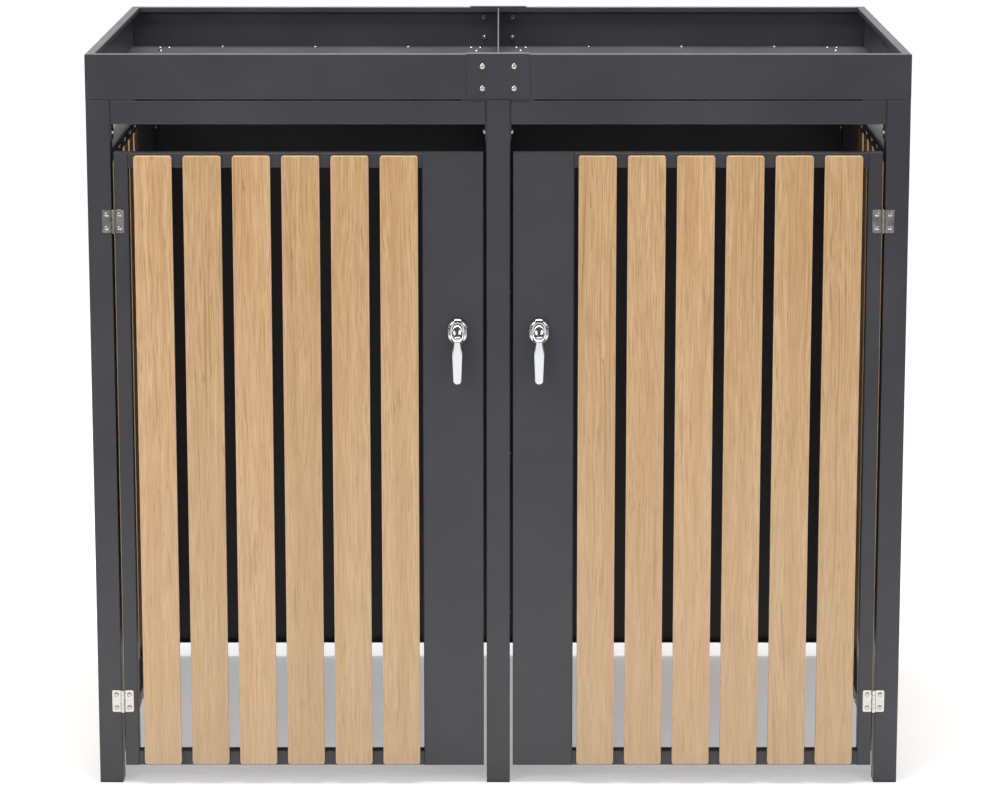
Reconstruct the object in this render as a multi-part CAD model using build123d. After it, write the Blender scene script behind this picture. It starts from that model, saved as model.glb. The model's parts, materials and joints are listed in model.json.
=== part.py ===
from build123d import *
import math
import os

# Garden storage box for two wheeled bins: a square-tube frame with two slatted doors,
# slatted sides, sheet rear panels and a planter roof. Millimetres, X across, Y from front
# to back, Z up. The origin lies on the floor under the middle of the whole footprint.

# Overall size
WIDTH = 1380.0
DEPTH = 800.0
POST_HEIGHT = 1190.0
PLANTER_HEIGHT = 76.0

# Square-tube frame
POST_SIZE = 40.0
POST_WALL = 1.5
TUBE_CORNER = 2.0
FOOT_THICKNESS = 3.0
FOOT_PLUG_HEIGHT = 18.0
FOOT_PLUG_CLEARANCE = 0.3
HEADER_HEIGHT = 40.0
HEADER_WALL = 1.5
BRACKET_THICKNESS = 2.0
BRACKET_INSET = 2.0
BRACKET_TAB = 28.0
GUSSET_THICKNESS = 2.0
GUSSET_REACH_X = 42.0
GUSSET_REACH_Y = 68.0
GUSSET_SHOULDER = 20.0
GUSSET_NOSE = 12.0
GUSSET_CLEARANCE = 0.5

# Wood-look slats
SLAT_WIDTH = 63.5
SLAT_THICKNESS = 10.0
SLAT_CORNER = 4.5
SLAT_EDGE = 1.5
SLAT_MARGIN = 4.0

# Doors
DOOR_GAP = 5.0
DOOR_FLOOR_GAP = 31.0
DOOR_HEADER_GAP = 48.0
DOOR_DEPTH = 25.0
DOOR_WALL = 1.2
HINGE_STILE_WIDTH = 24.0
LOCK_STILE_WIDTH = 103.0
DOOR_RAIL_HEIGHT = 25.0
DOOR_SLAT_COUNT = 6
SLAT_GAP_AT_HINGE = 10.0
SLAT_GAP_AT_LOCK = 7.0

# Side panels
SIDE_RAIL_SIZE = 25.0
SIDE_RAIL_WALL = 1.2
SIDE_SLAT_COUNT = 8
SIDE_SLAT_RECESS = 1.5
SIDE_SLAT_END_GAP = 13.0

# Rear panels
PANEL_SHEET = 1.0
PANEL_FLANGE = 20.0
PANEL_RECESS = 2.0
PANEL_SIDE_GAP = 0.3
PANEL_SCREW_ROWS = 4
PANEL_SCREW_END = 60.0

# Planter roof
SHEET = 1.2
SHEET_BEND = 1.8
RIM_WIDTH = 15.0
RIM_LIP = 9.0
BASE_FLANGE = 46.0
FLOOR_OVERLAP = 10.0
MITRE_GAP = 0.3
SEAM_GAP = 1.0
DIVIDER_WEB = 2.0
DIVIDER_FOOT = 60.0
DIVIDER_CLEARANCE = 0.5
DRAIN_RADIUS = 6.0
DRAIN_COUNT = 3

# Joint plates over the middle seam of the planter
PLATE_WIDTH = 105.0
PLATE_THICKNESS = 1.5
PLATE_BOTTOM_GAP = 3.0
PLATE_BOLT_SPAN = 53.0
PLATE_BOLT_RISE = 37.0
PLATE_BOLT_DROP = 20.0
PLATE_BOLT_RADIUS = 2.5
PLATE_BOLT_HEAD_RADIUS = 4.7
PLATE_BOLT_HEAD_HEIGHT = 2.8
PLATE_NUT_RADIUS = 4.6
PLATE_NUT_HEIGHT = 4.0

# Screws and bolts
FASTENER_CLEARANCE = 0.2
FRAME_BOLT_RADIUS = 3.0
FRAME_BOLT_HEAD_RADIUS = 5.0
FRAME_BOLT_HEAD_HEIGHT = 4.0
FRAME_BOLT_LENGTH = 14.0
SHEET_SCREW_RADIUS = 2.1
SHEET_SCREW_HEAD_RADIUS = 4.0
SHEET_SCREW_HEAD_HEIGHT = 2.5
SHEET_SCREW_LENGTH = 9.0
SLAT_SCREW_BITE = 7.0
FLANGE_SCREW_COUNT = 3
FLANGE_SCREW_INSET = 14.0
FLANGE_SCREW_END = 170.0

# Butt hinges
HINGE_INSET = 115.5
LEAF_WIDTH = 18.5
LEAF_HEIGHT = 39.0
LEAF_THICKNESS = 1.5
LEAF_CORNER = 3.0
KNUCKLE_RADIUS = 3.4
KNUCKLE_COUNT = 5
KNUCKLE_GAP = 0.4
PIN_RADIUS = 2.0
PIN_CLEARANCE = 0.05
PIN_PROUD = 0.8
HINGE_SCREW_SPACING = 23.0
HINGE_SCREW_RADIUS = 1.8
HINGE_SCREW_HEAD_RADIUS = 3.4
HINGE_SCREW_HEAD_HEIGHT = 1.2

# Lever handles
HANDLE_HEIGHT = 801.0
HANDLE_EDGE_DISTANCE = 44.0
LEVER_REACH = 42.0
LEVER_DROP = 91.0
LEVER_NECK_WIDTH = 12.0
LEVER_WIDTH = 18.6
LEVER_WIDEST_DROP = 34.0
LEVER_SHOULDER_RADIUS = 100.0
LEVER_TIP_WIDTH = 14.0
LEVER_TIP_ROUNDING = 6.5
LEVER_INSET = 5.0
LEVER_THICKNESS = 8.0
LEVER_TIP_THICKNESS = 6.5
LEVER_TIP_SETBACK = 3.0
LEVER_ROUNDING = 2.2
NECK_ROOT_RADIUS = 9.0
NECK_BEND_REACH = 22.0
NECK_BEND_DROP = 2.5
NECK_BEND_TILT = 30.0
NECK_BEND_WIDTH = 18.0
NECK_BEND_DEPTH = 17.2
NECK_DROP = 17.0
NECK_END_WIDTH = 22.0
NECK_END_DEPTH = 18.0
NECK_RIM_ROUNDING = 0.8
ROSETTE_WIDTH = 36.0
ROSETTE_LENGTH = 45.0
ROSETTE_HEIGHT = 9.0
ROSETTE_RIM = 2.0
BARREL_RADIUS = 8.0
BARREL_CLEARANCE = 0.2
SPINDLE_RADIUS = 6.0
SPINDLE_CLEARANCE = 0.05
LEVER_LIFT = 0.4
LOCK_NUT_RADIUS = 14.0
LOCK_NUT_HEIGHT = 5.0
CAM_THICKNESS = 3.0
CAM_WIDTH = 20.0
CAM_OVERLAP = 14.0
CAM_POST_CLEARANCE = 1.5
CAM_SQUARE = 8.0
CAM_SQUARE_CLEARANCE = 0.2
RIVET_RADIUS = 6.6
RIVET_HEIGHT = 2.0

# Derived positions
FRONT = -(DEPTH - LEVER_REACH) / 2
REAR = FRONT + DEPTH
LEFT = -WIDTH / 2
POST_INSIDE = LEFT + POST_SIZE
MIDDLE_SIDE = -POST_SIZE / 2
HEADER_TOP = POST_HEIGHT - GUSSET_THICKNESS
HEADER_BOTTOM = HEADER_TOP - HEADER_HEIGHT
DOOR_LEFT = POST_INSIDE + DOOR_GAP
DOOR_RIGHT = MIDDLE_SIDE - DOOR_GAP
DOOR_TOP = HEADER_BOTTOM - DOOR_HEADER_GAP
SLAT_BOTTOM = DOOR_FLOOR_GAP + SLAT_MARGIN
SLAT_TOP = DOOR_TOP - SLAT_MARGIN
BASE_TOP = POST_HEIGHT + SHEET
FLOOR_TOP = BASE_TOP + SHEET
RIM_TOP = POST_HEIGHT + PLANTER_HEIGHT
HINGE_X = POST_INSIDE + DOOR_GAP / 2
HINGE_Y = FRONT - KNUCKLE_RADIUS
HANDLE_X = DOOR_RIGHT - HANDLE_EDGE_DISTANCE

FRONTWARD = (0, -1, 0)
REARWARD = (0, 1, 0)
UPWARD = (0, 0, 1)


def save(name, *shapes):
    """Writes one node; a set of like pieces keeps its separate solids."""
    solids = [solid for shape in shapes for solid in shape.solids()]
    node = solids[0] if len(solids) == 1 else Compound(children=solids)
    export_step(node, os.path.join("parts", name + ".step"))


def save_pair(name, *shapes):
    """Writes a left-hand node and its mirror image on the right."""
    save("left_" + name, *shapes)
    save("right_" + name, *[mirror(shape, about=Plane.YZ) for shape in shapes])


def block(x_range, y_range, z_range):
    """A rectangular block between the given limits."""
    spans = [sorted(limits) for limits in (x_range, y_range, z_range)]
    sizes = [high - low for low, high in spans]
    centre = [(low + high) / 2 for low, high in spans]
    return Pos(*centre) * Box(*sizes)


def tube(axis, start, length, size_a, size_b, wall, capped=False):
    """A rounded tube from its start point; a capped tube has its far end closed."""
    frames = {
        "x": Plane(origin=start, x_dir=(0, 1, 0), z_dir=(1, 0, 0)),
        "y": Plane(origin=start, x_dir=(1, 0, 0), z_dir=(0, 1, 0)),
        "z": Plane(origin=start),
    }
    bore_length = length - wall if capped else length
    outside = extrude(RectangleRounded(size_a, size_b, TUBE_CORNER), length)
    bore = extrude(Rectangle(size_a - 2 * wall, size_b - 2 * wall), bore_length)
    return frames[axis] * (outside - bore)


def rod(point, direction, radius, length):
    """A round rod from a point along a direction."""
    lift = (Align.CENTER, Align.CENTER, Align.MIN)
    return Plane(origin=point, z_dir=direction) * Cylinder(radius, length, align=lift)


def shifted(point, direction, distance):
    """The point moved a distance along a direction."""
    return tuple(p + distance * d for p, d in zip(point, direction))


def fastener(point, outward, radius, length, head_radius, head_height):
    """A round-headed fastener seated at a point with its head outward."""
    crown = min(head_height, head_radius) / 2
    head = Cylinder(head_radius, head_height, align=(Align.CENTER, Align.CENTER, Align.MIN))
    head = fillet(head.edges().group_by(Axis.Z)[-1], crown)
    inward = tuple(-d for d in outward)
    return Plane(origin=point, z_dir=outward) * head + rod(point, inward, radius, length)


def clearance_hole(point, outward, radius, length):
    """The hole for a fastener, from just outside its seat to just past its tip."""
    start = shifted(point, outward, FASTENER_CLEARANCE)
    inward = tuple(-d for d in outward)
    return rod(start, inward, radius + FASTENER_CLEARANCE, length + 2 * FASTENER_CLEARANCE)


def slat(axis, centre, outer, outward):
    """A vertical slat with its outer face at a given plane, rounded towards the outside."""
    height = SLAT_TOP - SLAT_BOTTOM
    board = extrude(RectangleRounded(SLAT_WIDTH, height, SLAT_CORNER), SLAT_THICKNESS)
    board = fillet(board.faces().sort_by(Axis.Z)[-1].edges(), SLAT_EDGE)
    middle = (SLAT_TOP + SLAT_BOTTOM) / 2
    inner = outer - outward * SLAT_THICKNESS
    if axis == "x":
        frame = Plane(origin=(centre, inner, middle), x_dir=(1, 0, 0), z_dir=(0, outward, 0))
    else:
        frame = Plane(origin=(inner, centre, middle), x_dir=(0, 1, 0), z_dir=(outward, 0, 0))
    return frame * board


def spread(first, last, count):
    """Evenly spaced values from the first to the last."""
    step = (last - first) / (count - 1)
    return [first + step * index for index in range(count)]


os.makedirs("parts", exist_ok=True)

# Holes are collected for each post, which is cut once all its neighbours are known
post_holes = {}


def add_post_hole(post, hole):
    """Notes a hole for one post."""
    post_holes.setdefault(post, []).append(hole)


# Posts stand at three places across and at the front and rear
POST_X = {"left": LEFT + POST_SIZE / 2, "middle": 0.0, "right": -LEFT - POST_SIZE / 2}
POST_Y = {"front": FRONT + POST_SIZE / 2, "rear": REAR - POST_SIZE / 2}
HEADER_SIDES = {"left": [1], "middle": [-1, 1], "right": [-1]}

# Brackets and bolts at the header ends: a plate against the post with a tab below the header
brackets = []
frame_bolts = []
BRACKET_BOTTOM = HEADER_BOTTOM - BRACKET_TAB
BOLT_Z = HEADER_BOTTOM - BRACKET_TAB / 2
BRACKET_WIDTH = POST_SIZE - 2 * BRACKET_INSET


def add_bracket(post, x, y, direction):
    """One end bracket with its bolt on the post face that looks along a direction."""
    face = shifted((x, y, BOLT_Z), direction, POST_SIZE / 2)
    seat = shifted(face, direction, BRACKET_THICKNESS)
    across = BRACKET_WIDTH / 2
    if direction[0]:
        limits = ((face[0], seat[0]), (y - across, y + across))
    else:
        limits = ((x - across, x + across), (face[1], seat[1]))
    plate = block(*limits, (BRACKET_BOTTOM, HEADER_TOP))
    hole = clearance_hole(seat, direction, FRAME_BOLT_RADIUS, FRAME_BOLT_LENGTH)
    bolt = fastener(
        seat, direction, FRAME_BOLT_RADIUS, FRAME_BOLT_LENGTH,
        FRAME_BOLT_HEAD_RADIUS, FRAME_BOLT_HEAD_HEIGHT,
    )
    brackets.append(plate - hole)
    frame_bolts.append(bolt)
    add_post_hole(post, hole)


for row, row_y in POST_Y.items():
    inward = REARWARD if row == "front" else FRONTWARD
    for column, column_x in POST_X.items():
        post_name = row + "_" + column
        for side in HEADER_SIDES[column]:
            add_bracket(post_name, column_x, row_y, (side, 0, 0))
        add_bracket(post_name, column_x, row_y, inward)

save("header_brackets", *brackets)
save("frame_bolts", *frame_bolts)

# Headers: two at the front, two at the rear, three from front to rear
HEADER_Z = (HEADER_TOP + HEADER_BOTTOM) / 2
header_length = MIDDLE_SIDE - POST_INSIDE - 2 * BRACKET_THICKNESS
header_start_x = POST_INSIDE + BRACKET_THICKNESS
cross_length = DEPTH - 2 * POST_SIZE - 2 * BRACKET_THICKNESS
cross_start_y = FRONT + POST_SIZE + BRACKET_THICKNESS

front_header = tube(
    "x", (header_start_x, POST_Y["front"], HEADER_Z), header_length,
    POST_SIZE, HEADER_HEIGHT, HEADER_WALL,
)
rear_header = tube(
    "x", (header_start_x, POST_Y["rear"], HEADER_Z), header_length,
    POST_SIZE, HEADER_HEIGHT, HEADER_WALL,
)
cross_headers = [
    tube(
        "y", (column_x, cross_start_y, HEADER_Z), cross_length,
        POST_SIZE, HEADER_HEIGHT, HEADER_WALL,
    )
    for column_x in POST_X.values()
]

# Planter walls share one folded profile: base flange, wall, rim and a lip turned down
def wall_profile():
    """The folded wall section, measured inward from its outer face and up from its base."""
    points = [
        (0, 0), (BASE_FLANGE, 0), (BASE_FLANGE, SHEET), (SHEET, SHEET),
        (SHEET, PLANTER_HEIGHT - SHEET), (RIM_WIDTH - SHEET, PLANTER_HEIGHT - SHEET),
        (RIM_WIDTH - SHEET, PLANTER_HEIGHT - RIM_LIP), (RIM_WIDTH, PLANTER_HEIGHT - RIM_LIP),
        (RIM_WIDTH, PLANTER_HEIGHT), (0, PLANTER_HEIGHT),
    ]
    face = make_face(Polyline(*points, close=True))
    bends = [(0, 0), (0, PLANTER_HEIGHT), (RIM_WIDTH, PLANTER_HEIGHT)]
    corners = [
        vertex for vertex in face.vertices()
        if any(math.dist((vertex.X, vertex.Y), bend) < SHEET / 2 for bend in bends)
    ]
    return fillet(corners, SHEET_BEND)


def mitred(wall, corner, direction):
    """The wall cut at a corner, keeping the side that the direction points to."""
    start = shifted((*corner, 0), direction, MITRE_GAP / 2)
    return split(wall, bisect_by=Plane(origin=start, z_dir=direction), keep=Keep.TOP)


half_run = -LEFT - SEAM_GAP / 2
front_frame = Plane(origin=(LEFT, FRONT, POST_HEIGHT), x_dir=REARWARD, z_dir=(1, 0, 0))
side_frame = Plane(origin=(LEFT, REAR, POST_HEIGHT), x_dir=(1, 0, 0), z_dir=FRONTWARD)
FRONT_CORNER = (LEFT, FRONT)
REAR_CORNER = (LEFT, REAR)

front_wall = front_frame * extrude(wall_profile(), half_run)
front_wall = mitred(front_wall, FRONT_CORNER, (1, -1, 0))
rear_wall = mirror(front_wall, about=Plane(origin=(0, (FRONT + REAR) / 2, 0), z_dir=REARWARD))
side_wall = side_frame * extrude(wall_profile(), DEPTH)
side_wall = mitred(side_wall, FRONT_CORNER, (-1, 1, 0))
side_wall = mitred(side_wall, REAR_CORNER, (-1, -1, 0))

# Planter floor: a sheet on the base flanges, with drain holes along its front
FLOOR_EDGE = BASE_FLANGE - FLOOR_OVERLAP
floor_inner = -(DIVIDER_WEB / 2 + DIVIDER_CLEARANCE)
floor = block(
    (LEFT + FLOOR_EDGE, floor_inner), (FRONT + FLOOR_EDGE, REAR - FLOOR_EDGE),
    (BASE_TOP, FLOOR_TOP),
)
drain_y = FRONT + DEPTH / 4
drains = [
    rod((drain_x, drain_y, POST_HEIGHT), UPWARD, DRAIN_RADIUS, PLANTER_HEIGHT)
    for drain_x in spread(LEFT * 3 / 4, LEFT / 4, DRAIN_COUNT)
]

# Divider between the two planter bays: a foot strip under the floors and a notched web
foot_ends = (FRONT + BASE_FLANGE + DIVIDER_CLEARANCE, REAR - BASE_FLANGE - DIVIDER_CLEARANCE)
divider_foot = block((-DIVIDER_FOOT / 2, DIVIDER_FOOT / 2), foot_ends, (POST_HEIGHT, BASE_TOP))
web_end = SHEET + DIVIDER_CLEARANCE
web_notch = RIM_WIDTH + DIVIDER_CLEARANCE
web_step = RIM_TOP - RIM_LIP - DIVIDER_CLEARANCE
web_top = RIM_TOP - DIVIDER_CLEARANCE
web_half = [
    (foot_ends[0], POST_HEIGHT), (foot_ends[0], BASE_TOP + DIVIDER_CLEARANCE),
    (FRONT + web_end, BASE_TOP + DIVIDER_CLEARANCE), (FRONT + web_end, web_step),
    (FRONT + web_notch, web_step), (FRONT + web_notch, web_top),
]
web_points = web_half + [(FRONT + REAR - y, z) for y, z in reversed(web_half)]
web_face = make_face(Polyline(*web_points, close=True))
web_frame = Plane(origin=(-DIVIDER_WEB / 2, 0, 0), x_dir=REARWARD, z_dir=(1, 0, 0))
divider = divider_foot + web_frame * extrude(web_face, DIVIDER_WEB)
save("planter_divider", divider)

# Corner gussets around each post top, with the screws that hold the planter down
gussets = []
planter_screws = []
GUSSET_SCREWS = [(1 / 3, -1 / 4), (3 / 4, -1 / 4)]
GUSSET_FLOOR_SCREW = (1 / 2, 3 / 4)


def gusset(corner, side, depth, leg):
    """One L-shaped gusset at a post corner, reaching into the bay along both headers."""
    outer = POST_SIZE - GUSSET_CLEARANCE
    inner = leg - GUSSET_CLEARANCE
    gap = GUSSET_CLEARANCE
    points = [
        (gap, -outer), (GUSSET_REACH_X, -outer), (GUSSET_REACH_X, GUSSET_SHOULDER),
        (GUSSET_REACH_X - GUSSET_NOSE, GUSSET_REACH_Y), (-inner, GUSSET_REACH_Y),
        (-inner, gap), (gap, gap),
    ]
    placed = [(corner[0] + side * u, corner[1] + depth * v) for u, v in points]
    face = make_face(Polyline(*placed, close=True))
    return Pos(0, 0, HEADER_TOP) * extrude(face, GUSSET_THICKNESS)


def planter_screw(x, y, seat):
    """A pan-head screw down through the planter sheet, and its hole."""
    point = (x, y, seat)
    planter_screws.append(fastener(
        point, UPWARD, SHEET_SCREW_RADIUS, SHEET_SCREW_LENGTH,
        SHEET_SCREW_HEAD_RADIUS, SHEET_SCREW_HEAD_HEIGHT,
    ))
    return clearance_hole(point, UPWARD, SHEET_SCREW_RADIUS, SHEET_SCREW_LENGTH)


screw_holes = []
for depth, post_face in ((1, FRONT + POST_SIZE), (-1, REAR - POST_SIZE)):
    for column, column_x in POST_X.items():
        leg = POST_SIZE / 2 if column == "middle" else POST_SIZE
        for side in HEADER_SIDES[column]:
            corner = (column_x + side * POST_SIZE / 2, post_face)
            holes = []
            for along, back in GUSSET_SCREWS:
                x = corner[0] + side * along * GUSSET_REACH_X
                y = corner[1] + depth * back * POST_SIZE
                holes.append(planter_screw(x, y, BASE_TOP))
            x = corner[0] + side * GUSSET_FLOOR_SCREW[0] * GUSSET_REACH_X
            y = corner[1] + depth * GUSSET_FLOOR_SCREW[1] * GUSSET_REACH_Y
            holes.append(planter_screw(x, y, FLOOR_TOP))
            gussets.append(gusset(corner, side, depth, leg) - holes)
            screw_holes.extend(holes)

# Screws through the side flanges into the side headers
for side in (-1, 1):
    for y in spread(FRONT + FLANGE_SCREW_END, REAR - FLANGE_SCREW_END, FLANGE_SCREW_COUNT):
        screw_holes.append(planter_screw(-side * (LEFT + FLANGE_SCREW_INSET), y, BASE_TOP))

# Screws through the front and rear flanges into the headers between the posts
for y in (FRONT + FLANGE_SCREW_INSET, REAR - FLANGE_SCREW_INSET):
    for x in spread(LEFT + FLANGE_SCREW_END, -FLANGE_SCREW_END, FLANGE_SCREW_COUNT):
        screw_holes.append(planter_screw(x, y, BASE_TOP))
        screw_holes.append(planter_screw(-x, y, BASE_TOP))

save("corner_gussets", *gussets)
save("planter_screws", *planter_screws)
left_holes = [hole for hole in screw_holes if hole.center().X < 0]


def near_holes(box, holes):
    """The holes whose middle lies inside a plan rectangle."""
    (x_low, x_high), (y_low, y_high) = box
    return [
        hole for hole in holes
        if x_low < hole.center().X < x_high and y_low < hole.center().Y < y_high
    ]


front_holes = near_holes(((LEFT, 0), (FRONT, FRONT + POST_SIZE)), left_holes)
rear_holes = near_holes(((LEFT, 0), (REAR - POST_SIZE, REAR)), left_holes)
rear_header = rear_header - rear_holes
save_pair("front_header", front_header - front_holes)
save("rear_headers", rear_header, mirror(rear_header, about=Plane.YZ))
save("cross_headers", *[header - screw_holes for header in cross_headers])

# Joint plates over the middle seam, folded over the rim, with their bolts and nuts
plate_bolts = []
plate_nuts = []
plate_holes = []
plate_points = [
    (0, POST_HEIGHT + PLATE_BOTTOM_GAP), (-PLATE_THICKNESS, POST_HEIGHT + PLATE_BOTTOM_GAP),
    (-PLATE_THICKNESS, RIM_TOP + PLATE_THICKNESS), (RIM_WIDTH, RIM_TOP + PLATE_THICKNESS),
    (RIM_WIDTH, RIM_TOP), (0, RIM_TOP),
]
plate_face = make_face(Polyline(*plate_points, close=True))
fold = plate_face.vertices().sort_by_distance((-PLATE_THICKNESS, RIM_TOP + PLATE_THICKNESS))[0]
plate_face = fillet(fold, PLATE_THICKNESS)
plate_frame = Plane(origin=(-PLATE_WIDTH / 2, FRONT, 0), x_dir=REARWARD, z_dir=(1, 0, 0))
front_plate = plate_frame * extrude(plate_face, PLATE_WIDTH)
MIDPLANE = Plane(origin=(0, (FRONT + REAR) / 2, 0), z_dir=REARWARD)

for bolt_x in (-PLATE_BOLT_SPAN / 2, PLATE_BOLT_SPAN / 2):
    for drop in (PLATE_BOLT_DROP, PLATE_BOLT_DROP + PLATE_BOLT_RISE):
        seat = (bolt_x, FRONT - PLATE_THICKNESS, RIM_TOP - drop)
        bolt_length = PLATE_THICKNESS + SHEET + PLATE_NUT_HEIGHT + PLATE_BOLT_RADIUS
        plate_bolts.append(fastener(
            seat, FRONTWARD, PLATE_BOLT_RADIUS, bolt_length,
            PLATE_BOLT_HEAD_RADIUS, PLATE_BOLT_HEAD_HEIGHT,
        ))
        plate_holes.append(clearance_hole(seat, FRONTWARD, PLATE_BOLT_RADIUS, bolt_length))
        nut_frame = Plane(origin=(bolt_x, FRONT + SHEET, RIM_TOP - drop), z_dir=REARWARD)
        nut_bore = Circle(PLATE_BOLT_RADIUS + FASTENER_CLEARANCE)
        nut = extrude(RegularPolygon(PLATE_NUT_RADIUS, 6) - nut_bore, PLATE_NUT_HEIGHT)
        plate_nuts.append(nut_frame * nut)

front_plate = front_plate - plate_holes
save("front_joint_plate", front_plate)
save("rear_joint_plate", mirror(front_plate, about=MIDPLANE))
save("joint_bolts", *plate_bolts, *[mirror(bolt, about=MIDPLANE) for bolt in plate_bolts])
save("joint_nuts", *plate_nuts, *[mirror(nut, about=MIDPLANE) for nut in plate_nuts])

rear_plate_holes = [mirror(hole, about=MIDPLANE) for hole in plate_holes]
save_pair("planter_front_wall", front_wall - left_holes - plate_holes)
save_pair("planter_rear_wall", rear_wall - left_holes - rear_plate_holes)
save_pair("planter_side_wall", side_wall - left_holes)
save_pair("planter_floor", floor - drains - left_holes)

# Rear panels: folded pans between the rear posts, screwed through their side flanges
panel_left = POST_INSIDE + PANEL_SIDE_GAP
panel_right = MIDDLE_SIDE - PANEL_SIDE_GAP
panel_back = REAR - PANEL_RECESS
panel_front = panel_back - PANEL_FLANGE
pan = block((panel_left, panel_right), (panel_front, panel_back), (DOOR_FLOOR_GAP, DOOR_TOP))
hollow = block(
    (panel_left + PANEL_SHEET, panel_right - PANEL_SHEET),
    (panel_front - PANEL_SHEET, panel_back - PANEL_SHEET),
    (DOOR_FLOOR_GAP + PANEL_SHEET, DOOR_TOP - PANEL_SHEET),
)
wall_screws = []
pan_holes = []
screw_y = panel_front + PANEL_FLANGE / 2
for screw_z in spread(DOOR_FLOOR_GAP + PANEL_SCREW_END, DOOR_TOP - PANEL_SCREW_END, PANEL_SCREW_ROWS):
    for seat_x, toward, post in (
        (panel_left + PANEL_SHEET, 1, "rear_left"),
        (panel_right - PANEL_SHEET, -1, "rear_middle"),
    ):
        seat = (seat_x, screw_y, screw_z)
        screw = fastener(
            seat, (toward, 0, 0), SHEET_SCREW_RADIUS, SHEET_SCREW_LENGTH,
            SHEET_SCREW_HEAD_RADIUS, SHEET_SCREW_HEAD_HEIGHT,
        )
        hole = clearance_hole(seat, (toward, 0, 0), SHEET_SCREW_RADIUS, SHEET_SCREW_LENGTH)
        wall_screws.extend([screw, mirror(screw, about=Plane.YZ)])
        pan_holes.append(hole)
        add_post_hole(post, hole)
        add_post_hole("rear_right" if post == "rear_left" else post, mirror(hole, about=Plane.YZ))
save_pair("rear_panel", pan - hollow - pan_holes)

# Side panels: two rails between the posts, slats outside, screws from inside
slat_outer = LEFT + SIDE_SLAT_RECESS
rail_outer = slat_outer + SLAT_THICKNESS
rail_inner = rail_outer + SIDE_RAIL_SIZE
rail_x = rail_outer + SIDE_RAIL_SIZE / 2
rail_heights = (DOOR_FLOOR_GAP + SIDE_RAIL_SIZE / 2, DOOR_TOP - SIDE_RAIL_SIZE / 2)
first_slat = FRONT + POST_SIZE + SIDE_SLAT_END_GAP + SLAT_WIDTH / 2
last_slat = REAR - POST_SIZE - SIDE_SLAT_END_GAP - SLAT_WIDTH / 2
side_slat_places = spread(first_slat, last_slat, SIDE_SLAT_COUNT)
side_screw_length = SIDE_RAIL_SIZE + SLAT_SCREW_BITE
side_holes = []
for slat_y in side_slat_places:
    for rail_z in rail_heights:
        seat = (rail_inner, slat_y, rail_z)
        screw = fastener(
            seat, (1, 0, 0), SHEET_SCREW_RADIUS, side_screw_length,
            SHEET_SCREW_HEAD_RADIUS, SHEET_SCREW_HEAD_HEIGHT,
        )
        wall_screws.extend([screw, mirror(screw, about=Plane.YZ)])
        side_holes.append(clearance_hole(seat, (1, 0, 0), SHEET_SCREW_RADIUS, side_screw_length))
side_rails = [
    tube(
        "y", (rail_x, FRONT + POST_SIZE, rail_z), DEPTH - 2 * POST_SIZE,
        SIDE_RAIL_SIZE, SIDE_RAIL_SIZE, SIDE_RAIL_WALL,
    )
    for rail_z in rail_heights
]
side_slats = [slat("y", slat_y, slat_outer, -1) for slat_y in side_slat_places]
save_pair("side_rails", *[rail - side_holes for rail in side_rails])
save_pair("side_slats", *[board - side_holes for board in side_slats])
save("wall_screws", *wall_screws)

# Butt hinges: interleaved knuckles on a separate pin, one leaf on the post and one on the door
HINGE_PLACES = (DOOR_FLOOR_GAP + HINGE_INSET, DOOR_TOP - HINGE_INSET)
KNUCKLE_PITCH = LEAF_HEIGHT / KNUCKLE_COUNT


def hinge_screw_points(hinge_z, side):
    """The two screw seats on one leaf."""
    x = HINGE_X + side * (LEAF_WIDTH + KNUCKLE_RADIUS) / 2
    offsets = (-HINGE_SCREW_SPACING / 2, HINGE_SCREW_SPACING / 2)
    return [(x, FRONT - LEAF_THICKNESS, hinge_z + offset) for offset in offsets]


def hinge_leaf(hinge_z, side, first_knuckle):
    """One leaf with every second knuckle; side is minus one at the post, one at the door."""
    start = HINGE_X + side * (KNUCKLE_RADIUS + KNUCKLE_GAP)
    end = HINGE_X + side * LEAF_WIDTH
    sheet = (FRONT - LEAF_THICKNESS, FRONT)
    bottom = hinge_z - LEAF_HEIGHT / 2
    leaf = block((start, end), sheet, (bottom, bottom + LEAF_HEIGHT))
    outer_edges = leaf.edges().filter_by(Axis.Y).sort_by(Axis.X)
    leaf = fillet(outer_edges[:2] if side < 0 else outer_edges[-2:], LEAF_CORNER)
    for index in range(first_knuckle, KNUCKLE_COUNT, 2):
        low = bottom + index * KNUCKLE_PITCH + KNUCKLE_GAP / 2
        length = KNUCKLE_PITCH - KNUCKLE_GAP
        leaf += block((HINGE_X, start), sheet, (low, low + length))
        leaf += rod((HINGE_X, HINGE_Y, low), UPWARD, KNUCKLE_RADIUS, length)
    leaf -= rod((HINGE_X, HINGE_Y, bottom), UPWARD, PIN_RADIUS + PIN_CLEARANCE, LEAF_HEIGHT)
    return leaf - [hinge_screw_hole(point) for point in hinge_screw_points(hinge_z, side)]


def hinge_screw(point):
    """A low-headed hinge screw."""
    return fastener(
        point, FRONTWARD, HINGE_SCREW_RADIUS, SHEET_SCREW_LENGTH,
        HINGE_SCREW_HEAD_RADIUS, HINGE_SCREW_HEAD_HEIGHT,
    )


def hinge_screw_hole(point):
    """The hole for a hinge screw."""
    return clearance_hole(point, FRONTWARD, HINGE_SCREW_RADIUS, SHEET_SCREW_LENGTH)


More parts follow.
